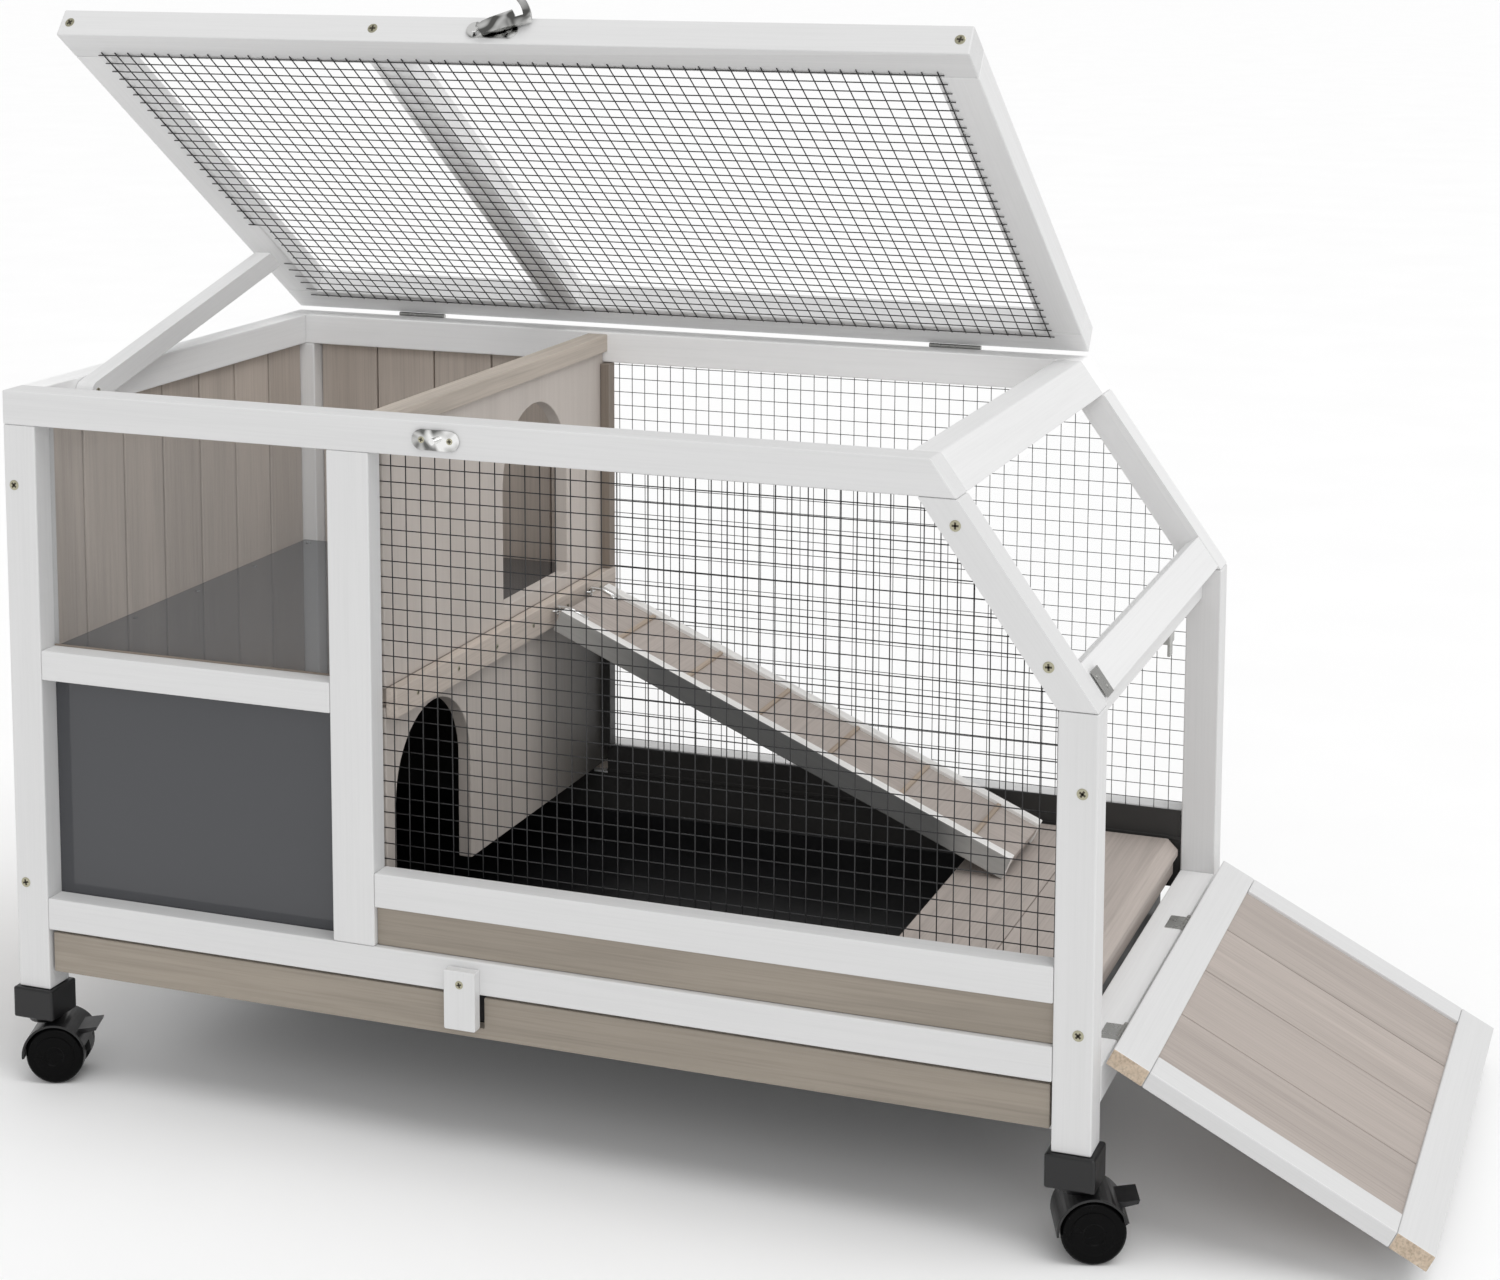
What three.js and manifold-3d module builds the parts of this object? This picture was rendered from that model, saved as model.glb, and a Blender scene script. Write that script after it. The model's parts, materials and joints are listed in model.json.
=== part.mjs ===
// Rabbit hutch on casters: a painted softwood frame with a mesh lid that props open, a solid
// two-storey house at the left, a mesh run at the right with a ladder, a pull-out tray and a
// drop-down ramp door in the right end.
//
// Millimetres, +X to the right along the front, +Y to the back, +Z up. The pieces are placed from
// the floor corner below the left end of the front face, and the whole group is then moved so that
// the origin is at the centre of its footprint, on the floor.

import * as THREE from 'three';
import { mergeVertices } from 'three/addons/utils/BufferGeometryUtils.js';
import Module from 'manifold-3d';

const wasm = await Module();
wasm.setup();

// ---------------------------------------------------------------- driving dimensions
const LENGTH = 910;              // left end to right end, at the posts
const DEPTH = 490;               // front face to back face
const CASTER_H = 80;             // floor to the foot of the posts
const GAP = 0.3;                 // clearance between pieces that meet
const CUT = 10;                  // how far a cutter runs past the face it opens
const above = (height) => CASTER_H + height;   // a height measured from the foot of the posts

const TOP = above(503);          // top of the fixed frame
const ROOF_END = 784;            // right end of the level top
const KNEE_Z = above(328);       // where the sloping end meets the upright posts

const POST_W = 30;               // corner posts, along X
const POST_D = 28;               // corner posts, along Y
const RAIL_H = 28;               // top rails, high
const RAIL_D = 20;               // front and back rails, deep
const SIDE_RAIL_W = 22;          // left and right top rails, along X

const MID_POST = [296, 333];                    // front middle post, along X
const LOWER_RAIL = [above(52), above(79)];      // front lower rail, along Z
const SILL_RAIL = [above(111), above(139)];     // front rail under the mesh
const WINDOW_RAIL = [above(264), above(289)];   // rail between the two windows
const REAR_SILL = [above(82), above(110)];      // back rail under the mesh
const RAMP_SILL = [above(30), above(58)];       // right sill that carries the ramp door
const KNEE_RAIL = { z: [above(302), above(321)], setback: 16, deep: 18 };
const SLOPE_RAIL = { start: 4, end: 35, thick: 15 };   // lower rail of the sloping end
const APRON_Y = [5, 15];

const WALL_T = 10;
const WALL_LEFT_X = 6;                          // outer face of the left wall boards
const WALL_REAR_INSET = 4;                      // outer face of the rear wall, in from the back
const PARTITION_X = [321, 333];
const PARTITION_Y = [24, 475];
const PARTITION_FOOT = above(94);
const UPPER_DOOR = { y: [243, 378], sill: 14, top: above(462) };
const LOWER_DOOR = { y: [40, 176], top: above(250) };
const CAP = { x: [317, 337], height: 16, below: 2 };   // rail along the partition's top edge
const NECK_LAP = 6;                             // how far the panel's neck runs into its neighbours
const FLOOR_Z = [above(266), above(281)];
const FLOOR_EDGE = { x: [333, 343], y: [24, 467], z: [above(258), above(282)] };
const PLATFORM = { x: [717, 878], y: [29, 461], z: [above(70), above(85)], chamfer: 9 };
const RISER = { x: [864, 874], drop: 17 };

const MESH_T = 1;                // welded wire panels, as sheets
const LAP = 8;                   // how far a panel runs behind its frame
const PANE_T = 2;                // clear acrylic
const SLOPE_PANE = { deep: 6, short: 4 };        // below the sloping face; short of the top rail

const LID_T = 25;
const LID_RAIL_W = 34;
const LID_OPEN = THREE.MathUtils.degToRad(35);
const LID_PIVOT = { y: DEPTH + 2, z: TOP + 1 };
const LID_BAR_X = [276, 306];

const PROP = { x: [22.6, 38.6], half: 9, pivotY: 80, drop: 12, tipY: 385, tipGap: 0.6 };

const LATCH_X = 392;             // the lid hook and its keeper, along X
const HOOK = { armY: [3, 6.5], reach: 28.5, barWidth: 6, notch: 7, turn: 120, pinR: 3 };
const HOOK_ARC = { throat: 0.16, mouth: 0.34, tail: 0.2 };   // radians either side of the notch
const KEEPER = { half: 20, high: 16, t: 1.8, studR: 2.6, studOut: 8 };

const RAMP_T = 14;
const RAMP_LEN = 261;
const RAMP_RAIL_W = 30;
const RAMP_PANEL = { inset: 3, t: 8 };           // held in a groove round the frame
const RAMP_SIDE_GAP = 2;
const HINGE_OFFSET = 1;          // knuckle line of the lid and the ramp, out from the timber
const RAMP_PIVOT = { x: LENGTH + HINGE_OFFSET, z: RAMP_SILL[1] + HINGE_OFFSET };
const RAMP_SLOPE = THREE.MathUtils.degToRad(27);   // lowered, on the stop of its hinges

// The slot in the tray and its front lets them slide out past the upright turn button.
const TRAY = { x: [46, 864], y: [17, 460], z: [above(16), above(49)], wall: 3 };
const TRAY_FRONT = { x: [32, 878], y: [4, 16], z: [above(15), above(49)] };
const BEARER = { x: [32, 878], z: [above(4), above(15)], width: 34 };
const BUTTON = { x: 411, w: 27, t: 9, z: [above(25), above(73)], pivotZ: above(62) };
const BUTTON_CLEAR = 1.5;

const LADDER = {
  x: 348, z: above(274), y: [308, 416], start: 7, len: 453, slope: THREE.MathUtils.degToRad(23.12),
};
const LADDER_RAIL = { w: 12, top: 8, bottom: -12 };
const LADDER_DECK = { top: 5, bottom: -3 };
const LADDER_CLEATS = { count: 6, first: 60, pitch: 70.5, w: 4, top: 7.5, rebate: 1 };

const WHEEL = { r: 24, t: 14, span: 44, bevel: 2 };
const AXLE = { r: 3, clear: 0.6, sides: 16 };
const TRAIL = 12;                // axle of a caster, behind its swivel
const CASTER_TURN = { front_left: 20, front_right: 20, rear_left: -70, rear_right: -110 };
const COVER = {                  // mudguard over both wheels, as an arc about the axle
  inner: 25.2, outer: 27, from: THREE.MathUtils.degToRad(20), to: THREE.MathUtils.degToRad(185),
  past: 1,
};
const SOCKET = { w: 38, d: 36, bottom: 54 };
const WEB = { half: 9, drop: 13, sink: 0.5, wheelGap: 2 };   // plate between the wheels
const NECK = { top: 15, foot: 13, high: 4, z: 53.5, sides: 24 };
// Brake lever: its outline from the cover's front edge, along X and Z from the axle, and half width.
const LEVER = { outline: [[-6, 16], [6, 19], [7, 22], [-9, 20]], half: 13 };
const ROUND = 40;                // sides of a wheel

// ---------------------------------------------------------------- materials
const paint = new THREE.MeshStandardMaterial({ color: 0xeceded, roughness: 0.55, metalness: 0 });
const taupe = new THREE.MeshStandardMaterial({ color: 0xa89c92, roughness: 0.7, metalness: 0 });
const wire = new THREE.MeshStandardMaterial({ color: 0x1b1b1c, roughness: 0.5, metalness: 0.2 });
const acrylic = new THREE.MeshStandardMaterial({
  color: 0xdfe6ea, roughness: 0.05, metalness: 0, transparent: true, opacity: 0.25,
});
const chrome = new THREE.MeshStandardMaterial({ color: 0xc9c9c7, roughness: 0.2, metalness: 1 });
const blackPlastic = new THREE.MeshStandardMaterial({ color: 0x18191a, roughness: 0.4, metalness: 0 });

// ---------------------------------------------------------------- shape helpers
function boxGeometry([x0, x1], [y0, y1], [z0, z1], inset = GAP / 2) {
  const g = new THREE.BoxGeometry(x1 - x0 - 2 * inset, y1 - y0 - 2 * inset, z1 - z0 - 2 * inset);
  g.translate((x0 + x1) / 2, (y0 + y1) / 2, (z0 + z1) / 2);
  return g;
}

function shapeOf(points) {
  return new THREE.Shape(points.map(([a, b]) => new THREE.Vector2(a, b)));
}

function extrude(shape, depth, curveSegments = 12) {
  return new THREE.ExtrudeGeometry(shape, { depth, bevelEnabled: false, curveSegments });
}

// A side-view outline in X and Z, from y0 to y1.
function sideView(shape, y0, y1) {
  const basis = new THREE.Matrix4().makeBasis(
    new THREE.Vector3(1, 0, 0), new THREE.Vector3(0, 0, 1), new THREE.Vector3(0, -1, 0));
  return extrude(shape, y1 - y0).applyMatrix4(basis).translate(0, y1, 0);
}

// An end-view outline in Y and Z, from x0 to x1.
function endView(shape, x0, x1) {
  const basis = new THREE.Matrix4().makeBasis(
    new THREE.Vector3(0, 1, 0), new THREE.Vector3(0, 0, 1), new THREE.Vector3(1, 0, 0));
  return extrude(shape, x1 - x0).applyMatrix4(basis).translate(x0, 0, 0);
}

function toSolid(geometry) {
  const g = geometry.clone();
  g.deleteAttribute('normal');
  g.deleteAttribute('uv');
  const merged = mergeVertices(g, 1e-4);
  return new wasm.Manifold(new wasm.Mesh({
    numProp: 3,
    vertProperties: new Float32Array(merged.attributes.position.array),
    triVerts: new Uint32Array(merged.index.array),
  }));
}

function fromSolid(solid) {
  const mesh = solid.getMesh();
  const g = new THREE.BufferGeometry();
  g.setAttribute('position', new THREE.BufferAttribute(new Float32Array(mesh.vertProperties), 3));
  g.setIndex(new THREE.BufferAttribute(new Uint32Array(mesh.triVerts), 1));
  g.computeVertexNormals();
  return g;
}

function union(geometries) {
  return fromSolid(geometries.map(toSolid).reduce((a, b) => a.add(b)));
}

function cut(geometry, cutters) {
  return fromSolid(cutters.map(toSolid).reduce((a, b) => a.subtract(b), toSolid(geometry)));
}

function add(parent, name, geometry, material) {
  const mesh = new THREE.Mesh(geometry, material);
  mesh.name = name;
  parent.add(mesh);
  return mesh;
}

function bar(parent, name, x, y, z, material = paint) {
  return add(parent, name, boxGeometry(x, y, z), material);
}

// A doorway outline: straight jambs with a round head, as a path of a, b points.
function archPath(a0, a1, bottom, top) {
  const radius = (a1 - a0) / 2;
  const path = new THREE.Path();
  path.moveTo(a0, bottom);
  path.lineTo(a1, bottom);
  path.lineTo(a1, top - radius);
  path.absarc((a0 + a1) / 2, top - radius, radius, 0, Math.PI, false);
  path.lineTo(a0, bottom);
  return path;
}

// ---------------------------------------------------------------- derived places
const hutch = new THREE.Group();
const SLOPE_RUN = LENGTH - ROOF_END;
const SLOPE_DROP = TOP - KNEE_Z;
const SLOPE_ANGLE = Math.atan2(SLOPE_DROP, SLOPE_RUN);
const RAIL_UNDER = TOP - RAIL_H;
const FRONT_Y = [0, RAIL_D];
const REAR_Y = [DEPTH - RAIL_D, DEPTH];
const INNER_Y = [POST_D, DEPTH - POST_D];
const BETWEEN_POSTS = [POST_W, LENGTH - POST_W];
const FRONT_PANEL_Y = RAIL_D + GAP;              // front face of the panes and the front mesh
const REAR_PANEL_Y = DEPTH - RAIL_D - GAP - MESH_T;

// The outer line of the sloping end, at a height z.
const slopeAt = (z) => ROOF_END + (TOP - z) * SLOPE_RUN / SLOPE_DROP;

// ---------------------------------------------------------------- fixed frame
function makePosts() {
  for (const [side, y0] of [['front', 0], ['rear', DEPTH - POST_D]]) {
    const y = [y0, y0 + POST_D];
    bar(hutch, `post_${side}_left`, [0, POST_W], y, [CASTER_H, RAIL_UNDER]);
    bar(hutch, `post_${side}_right`, [BETWEEN_POSTS[1], LENGTH], y, [CASTER_H, KNEE_Z]);
    const low = KNEE_Z + GAP;
    const high = RAIL_UNDER - GAP;
    const slanted = shapeOf([
      [slopeAt(low) - POST_W, low], [slopeAt(low), low],
      [slopeAt(high), high], [slopeAt(high) - POST_W, high],
    ]);
    add(hutch, `post_${side}_slanted`, sideView(slanted, y[0] + GAP / 2, y[1] - GAP / 2), paint);
  }
}

function makeTopRails() {
  const long = shapeOf([
    [0, RAIL_UNDER], [slopeAt(RAIL_UNDER), RAIL_UNDER], [ROOF_END, TOP], [0, TOP],
  ]);
  add(hutch, 'rail_top_front', sideView(long, 0, POST_D - GAP), paint);
  add(hutch, 'rail_top_rear', sideView(long, DEPTH - POST_D + GAP, DEPTH), paint);
  bar(hutch, 'rail_top_left', [0, SIDE_RAIL_W], INNER_Y, [RAIL_UNDER, TOP]);
  const cross = shapeOf([
    [ROOF_END - SIDE_RAIL_W, RAIL_UNDER], [slopeAt(RAIL_UNDER), RAIL_UNDER],
    [ROOF_END, TOP], [ROOF_END - SIDE_RAIL_W, TOP],
  ]);
  add(hutch, 'rail_top_right', sideView(cross, ...INNER_Y), paint);
}

function makeFrontRails() {
  const meshX = [MID_POST[1], BETWEEN_POSTS[1]];
  bar(hutch, 'rail_lower_front', BETWEEN_POSTS, FRONT_Y, LOWER_RAIL);
  bar(hutch, 'post_middle_front', MID_POST, FRONT_Y, [LOWER_RAIL[1], RAIL_UNDER]);
  bar(hutch, 'rail_window_front', [POST_W, MID_POST[0]], FRONT_Y, WINDOW_RAIL);
  bar(hutch, 'rail_sill_front', meshX, FRONT_Y, SILL_RAIL);
  bar(hutch, 'apron_front', meshX, APRON_Y, [LOWER_RAIL[1], SILL_RAIL[0]], taupe);
}

function makeRearRails() {
  bar(hutch, 'rail_lower_rear', BETWEEN_POSTS, REAR_Y, [LOWER_RAIL[0], REAR_SILL[0]]);
  bar(hutch, 'rail_sill_rear', [PARTITION_X[1], BETWEEN_POSTS[1]], REAR_Y, REAR_SILL);
}

// A flat bar lying in the sloping end, from `start` to `end` up the slope.
function slopeBar({ start, end, thick }, [y0, y1], deep = 0) {
  const up = [-Math.cos(SLOPE_ANGLE), Math.sin(SLOPE_ANGLE)];
  const inward = [-Math.sin(SLOPE_ANGLE), -Math.cos(SLOPE_ANGLE)];
  const corner = (along, depth) => [
    LENGTH + up[0] * along + inward[0] * depth, KNEE_Z + up[1] * along + inward[1] * depth,
  ];
  const outline = shapeOf([
    corner(start, deep), corner(end, deep), corner(end, deep + thick), corner(start, deep + thick),
  ]);
  return sideView(outline, y0 + GAP, y1 - GAP);
}

function makeRightEnd() {
  const outer = LENGTH - KNEE_RAIL.setback;
  bar(hutch, 'sill_ramp', [BETWEEN_POSTS[1], LENGTH], INNER_Y, RAMP_SILL);
  bar(hutch, 'rail_knee', [outer - KNEE_RAIL.deep, outer], INNER_Y, KNEE_RAIL.z);
  add(hutch, 'rail_slope_lower', slopeBar(SLOPE_RAIL, INNER_Y), paint);
}

function makeWalls() {
  bar(hutch, 'wall_left', [WALL_LEFT_X, WALL_LEFT_X + WALL_T], INNER_Y,
    [LOWER_RAIL[0], RAIL_UNDER], taupe);
  const back = DEPTH - WALL_REAR_INSET;
  bar(hutch, 'wall_rear', [POST_W, PARTITION_X[1]], [back - WALL_T, back],
    [REAR_SILL[0], RAIL_UNDER], taupe);
}

// ---------------------------------------------------------------- inside
function makePartition() {
  const [y0, y1] = PARTITION_Y;
  const [x0, x1] = PARTITION_X;
  const upper = shapeOf([
    [y0, FLOOR_Z[1] + GAP], [y1, FLOOR_Z[1] + GAP], [y1, RAIL_UNDER - GAP], [y0, RAIL_UNDER - GAP],
  ]);
  upper.holes.push(archPath(...UPPER_DOOR.y, FLOOR_Z[1] + UPPER_DOOR.sill, UPPER_DOOR.top));
  const capFoot = TOP - CAP.below - CAP.height;
  const cap = boxGeometry(CAP.x, INNER_Y, [capFoot, TOP - CAP.below], GAP);
  // Between the top rails the panel goes on, a little shorter, up to the cap.
  const neckZ = [RAIL_UNDER - NECK_LAP, capFoot + NECK_LAP];
  const neck = boxGeometry([x0 - GAP, x1], INNER_Y, neckZ, GAP);
  add(hutch, 'partition_upper', union([endView(upper, x0, x1 - GAP), neck, cap]), taupe);

  const [a0, a1] = LOWER_DOOR.y;
  const radius = (a1 - a0) / 2;
  const lower = new THREE.Shape();
  lower.moveTo(y0, PARTITION_FOOT);
  lower.lineTo(a0, PARTITION_FOOT);
  lower.lineTo(a0, LOWER_DOOR.top - radius);
  lower.absarc((a0 + a1) / 2, LOWER_DOOR.top - radius, radius, Math.PI, 0, true);
  lower.lineTo(a1, PARTITION_FOOT);
  lower.lineTo(y1, PARTITION_FOOT);
  lower.lineTo(y1, FLOOR_Z[0] - GAP);
  lower.lineTo(y0, FLOOR_Z[0] - GAP);
  add(hutch, 'partition_lower', endView(lower, x0, x1 - GAP), taupe);
}

function makeFloors() {
  bar(hutch, 'upper_floor', [WALL_LEFT_X + WALL_T, PARTITION_X[1]], INNER_Y, FLOOR_Z, taupe);
  bar(hutch, 'floor_edge', FLOOR_EDGE.x, FLOOR_EDGE.y, FLOOR_EDGE.z, taupe);
  const [x0, x1] = PLATFORM.x;
  const [z0, z1] = PLATFORM.z;
  const section = shapeOf([
    [x0, z0], [RISER.x[0], z0], [RISER.x[0], z0 - RISER.drop], [RISER.x[1], z0 - RISER.drop],
    [RISER.x[1], z0], [x1, z0], [x1, z1 - PLATFORM.chamfer], [x1 - PLATFORM.chamfer, z1], [x0, z1],
  ]);
  add(hutch, 'platform', sideView(section, ...PLATFORM.y), taupe);
}

function makePanels() {
  const right = (z) => Math.min(BETWEEN_POSTS[1], slopeAt(z) - POST_W) - GAP;
  const top = RAIL_UNDER - GAP;
  const outline = (left, bottom) => shapeOf([
    [left, bottom], [right(bottom), bottom], [right(KNEE_Z), KNEE_Z], [right(top), top], [left, top],
  ]);
  const front = outline(MID_POST[1] - LAP, SILL_RAIL[1] - LAP);
  const rear = outline(PARTITION_X[1] + GAP, REAR_SILL[1] - LAP);
  add(hutch, 'mesh_front', sideView(front, FRONT_PANEL_Y, FRONT_PANEL_Y + MESH_T), wire);
  add(hutch, 'mesh_rear', sideView(rear, REAR_PANEL_Y, REAR_PANEL_Y + MESH_T), wire);

  const paneX = [POST_W, MID_POST[0] + LAP];
  const paneY = [RAIL_D, RAIL_D + PANE_T + GAP];
  bar(hutch, 'pane_window_upper', paneX, paneY, [WINDOW_RAIL[1] - LAP, RAIL_UNDER], acrylic);
  bar(hutch, 'pane_window_lower', paneX, paneY, [LOWER_RAIL[1] - LAP, WINDOW_RAIL[0] + LAP], acrylic);
  const slopeLength = Math.hypot(SLOPE_RUN, SLOPE_DROP) * (RAIL_UNDER - KNEE_Z) / SLOPE_DROP;
  const pane = {
    start: SLOPE_RAIL.end + GAP, end: slopeLength - SLOPE_PANE.short, thick: PANE_T,
  };
  add(hutch, 'pane_slope', slopeBar(pane, INNER_Y, SLOPE_PANE.deep), acrylic);
}

function makeKeeper() {
  const z = TOP - RAIL_H / 2;
  const plate = new THREE.Shape();
  const r = KEEPER.high / 2;
  plate.absarc(LATCH_X + KEEPER.half - r, z, r, -Math.PI / 2, Math.PI / 2, false);
  plate.absarc(LATCH_X - KEEPER.half + r, z, r, Math.PI / 2, Math.PI * 1.5, false);
  const stud = new THREE.CylinderGeometry(KEEPER.studR, KEEPER.studR, KEEPER.studOut, 16);
  stud.translate(LATCH_X, -KEEPER.studOut / 2 - GAP, z);
  const backing = sideView(plate, -KEEPER.t - GAP, -GAP);
  add(hutch, 'latch_keeper', union([backing, stud]), chrome);
}

// ---------------------------------------------------------------- lid, its prop and its hook
// Inside the lid group the hinge line is the origin and the lid is drawn shut.
function makeLid() {
  const lid = new THREE.Group();
  lid.position.set(0, LID_PIVOT.y, LID_PIVOT.z);
  lid.rotation.x = -LID_OPEN;
  hutch.add(lid);
  const z = [1, 1 + LID_T];
  const y = [-LID_PIVOT.y, -LID_PIVOT.y + DEPTH];
  const inner = [y[0] + LID_RAIL_W, y[1] - LID_RAIL_W];
  bar(lid, 'lid_rail_front', [0, ROOF_END], [y[0], inner[0]], z);
  bar(lid, 'lid_rail_rear', [0, ROOF_END], [inner[1], y[1]], z);
  bar(lid, 'lid_rail_left', [0, LID_RAIL_W], inner, z);
  bar(lid, 'lid_rail_right', [ROOF_END - LID_RAIL_W, ROOF_END], inner, z);
  const meshTop = z[0] + MESH_T + GAP;
  bar(lid, 'lid_bar', LID_BAR_X, inner, [meshTop, z[1]]);
  bar(lid, 'lid_mesh', [LID_RAIL_W, ROOF_END - LID_RAIL_W], inner, [z[0], meshTop], wire);
  makeHook(lid, y[0]);
}

// The hook turns on a pin in the lid's front face. Its notch follows the arc that the keeper's
// stud makes around that pin, so it drops over the keeper without touching it.
function makeHook(lid, faceY) {
  const hook = new THREE.Group();
  hook.position.set(LATCH_X, faceY, 1 + LID_T / 2);
  hook.rotation.y = -THREE.MathUtils.degToRad(HOOK.turn);
  lid.add(hook);
  const outer = HOOK.reach + HOOK.notch / 2 + HOOK.barWidth;
  const inner = HOOK.reach + HOOK.notch / 2;
  const throat = HOOK.reach - HOOK.notch / 2;
  const down = -Math.PI / 2;
  const end = down - HOOK_ARC.throat;
  const outline = new THREE.Shape();
  outline.moveTo(-HOOK.barWidth, 0);
  outline.absarc(0, 0, HOOK.barWidth, Math.PI, 0, true);
  outline.lineTo(HOOK.barWidth, -HOOK.barWidth);
  outline.lineTo(throat * Math.cos(down + HOOK_ARC.throat), throat * Math.sin(down + HOOK_ARC.throat));
  outline.absarc(0, 0, throat, down + HOOK_ARC.throat, end, true);
  outline.absarc(0, 0, inner, end, down + HOOK_ARC.mouth, false);
  outline.absarc(0, 0, outer, down + HOOK_ARC.mouth, end - HOOK_ARC.tail, true);
  outline.lineTo(-HOOK.barWidth * 1.5, -HOOK.barWidth * 2);
  const arm = sideView(outline, -HOOK.armY[1], -HOOK.armY[0]);
  const pin = new THREE.CylinderGeometry(HOOK.pinR, HOOK.pinR, HOOK.armY[1] - GAP, 16);
  pin.translate(0, -(HOOK.armY[1] + GAP) / 2, 0);
  add(hook, 'lid_hook', union([arm, pin]), chrome);
}

function makeProp() {
  const pivotZ = TOP - PROP.drop;
  const under = LID_PIVOT.z + (LID_PIVOT.y - PROP.tipY) * Math.tan(LID_OPEN);
  const run = PROP.tipY - PROP.pivotY;
  const rise = under - PROP.tipGap - pivotZ - PROP.half;
  const angle = Math.atan2(rise, run);
  const length = Math.hypot(run, rise);
  const prop = new THREE.Group();
  prop.position.set(0, PROP.pivotY, pivotZ);
  prop.rotation.x = angle;
  hutch.add(prop);
  // The tip is cut to lie flat under the raised lid's rail.
  const bevel = LID_OPEN + angle;
  const back = 2 * PROP.half * Math.cos(bevel) / Math.sin(bevel);
  const outline = new THREE.Shape();
  outline.moveTo(0, -PROP.half);
  outline.lineTo(length, -PROP.half);
  outline.lineTo(length - back, PROP.half);
  outline.lineTo(0, PROP.half);
  outline.absarc(0, 0, PROP.half, Math.PI / 2, Math.PI * 1.5, false);
  add(prop, 'lid_prop', endView(outline, ...PROP.x), paint);
}

// ---------------------------------------------------------------- ramp door
// Drawn shut: the hinge line is the origin and the door stands up along Z, just inside it.
function makeRamp() {
  const ramp = new THREE.Group();
  ramp.position.set(RAMP_PIVOT.x, 0, RAMP_PIVOT.z);
  ramp.rotation.y = Math.PI / 2 + RAMP_SLOPE;
  hutch.add(ramp);
  const x = [-HINGE_OFFSET - RAMP_T, -HINGE_OFFSET];
  const y = [INNER_Y[0] + RAMP_SIDE_GAP, INNER_Y[1] - RAMP_SIDE_GAP];
  const z = [HINGE_OFFSET, RAMP_LEN];
  const hole = (inset) => [
    [y[0] + RAMP_RAIL_W - inset, y[1] - RAMP_RAIL_W + inset],
    [z[0] + RAMP_RAIL_W - inset, z[1] - RAMP_RAIL_W + inset],
  ];
  const frame = boxGeometry(x, y, z, 0);
  const opening = boxGeometry([x[0] - CUT, x[1] + CUT], ...hole(0), 0);
  const panelX = [(x[0] + x[1] - RAMP_PANEL.t) / 2, (x[0] + x[1] + RAMP_PANEL.t) / 2];
  const groove = boxGeometry(panelX, ...hole(RAMP_PANEL.inset), -GAP);
  add(ramp, 'ramp_frame', cut(frame, [opening, groove]), paint);
  add(ramp, 'ramp_panel', boxGeometry(panelX, ...hole(RAMP_PANEL.inset), 0), taupe);
}

// ---------------------------------------------------------------- tray and turn button
function makeTray() {
  const { x, y, z, wall } = TRAY;
  const outer = boxGeometry(x, y, z);
  const hollow = boxGeometry([x[0] + wall, x[1] - wall], [y[0] + wall, y[1] - wall],
    [z[0] + wall, z[1] + CUT], 0);
  const half = BUTTON.w / 2 + BUTTON_CLEAR;
  const slot = boxGeometry([BUTTON.x - half, BUTTON.x + half], [-CUT, y[0] + wall + GAP],
    [BUTTON.z[0] - BUTTON_CLEAR, z[1] + CUT], 0);
  add(hutch, 'tray', cut(outer, [hollow, slot]), blackPlastic);
  const board = boxGeometry(TRAY_FRONT.x, TRAY_FRONT.y, TRAY_FRONT.z);
  add(hutch, 'tray_front', cut(board, [slot]), taupe);

  const [bx0, bx1] = BEARER.x;
  const bearer = boxGeometry(BEARER.x, INNER_Y, BEARER.z);
  const gap = boxGeometry([bx0 + BEARER.width, bx1 - BEARER.width],
    [INNER_Y[0] - CUT, INNER_Y[1] - BEARER.width], [BEARER.z[0] - CUT, BEARER.z[1] + CUT], 0);
  add(hutch, 'tray_bearer', cut(bearer, [gap]), paint);
}

function makeButton() {
  const half = BUTTON.w / 2;
  bar(hutch, 'turn_button', [BUTTON.x - half, BUTTON.x + half], [-BUTTON.t - GAP, 0], BUTTON.z);
}

// ---------------------------------------------------------------- ladder
// Its group's X runs down the slope from the two screw hooks it hangs by.
function makeLadder() {
  const ladder = new THREE.Group();
  ladder.position.set(LADDER.x, 0, LADDER.z);
  ladder.rotation.y = LADDER.slope;
  hutch.add(ladder);
  const [y0, y1] = LADDER.y;
  const x = [LADDER.start, LADDER.len];
  const side = (y) => boxGeometry(x, [y, y + LADDER_RAIL.w], [LADDER_RAIL.bottom, LADDER_RAIL.top], 0);
  const pieces = [side(y0), side(y1 - LADDER_RAIL.w)];
  const tongue = LADDER_RAIL.w - LADDER_CLEATS.rebate;
  const inside = [y0 + tongue, y1 - tongue];
  pieces.push(boxGeometry(x, inside, [LADDER_DECK.bottom, LADDER_DECK.top], 0));
  for (let i = 0; i < LADDER_CLEATS.count; i += 1) {
    const at = LADDER_CLEATS.first + i * LADDER_CLEATS.pitch;
    pieces.push(boxGeometry([at, at + LADDER_CLEATS.w], inside,
      [LADDER_DECK.bottom, LADDER_CLEATS.top], 0));
  }
  add(ladder, 'ladder', union(pieces), taupe);
}

// ---------------------------------------------------------------- casters
function lyingCylinder(radius, y0, y1, sides = ROUND) {
  const g = new THREE.CylinderGeometry(radius, radius, y1 - y0, sides);
  g.translate(TRAIL, (y0 + y1) / 2, WHEEL.r);
  return g;
}

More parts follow.
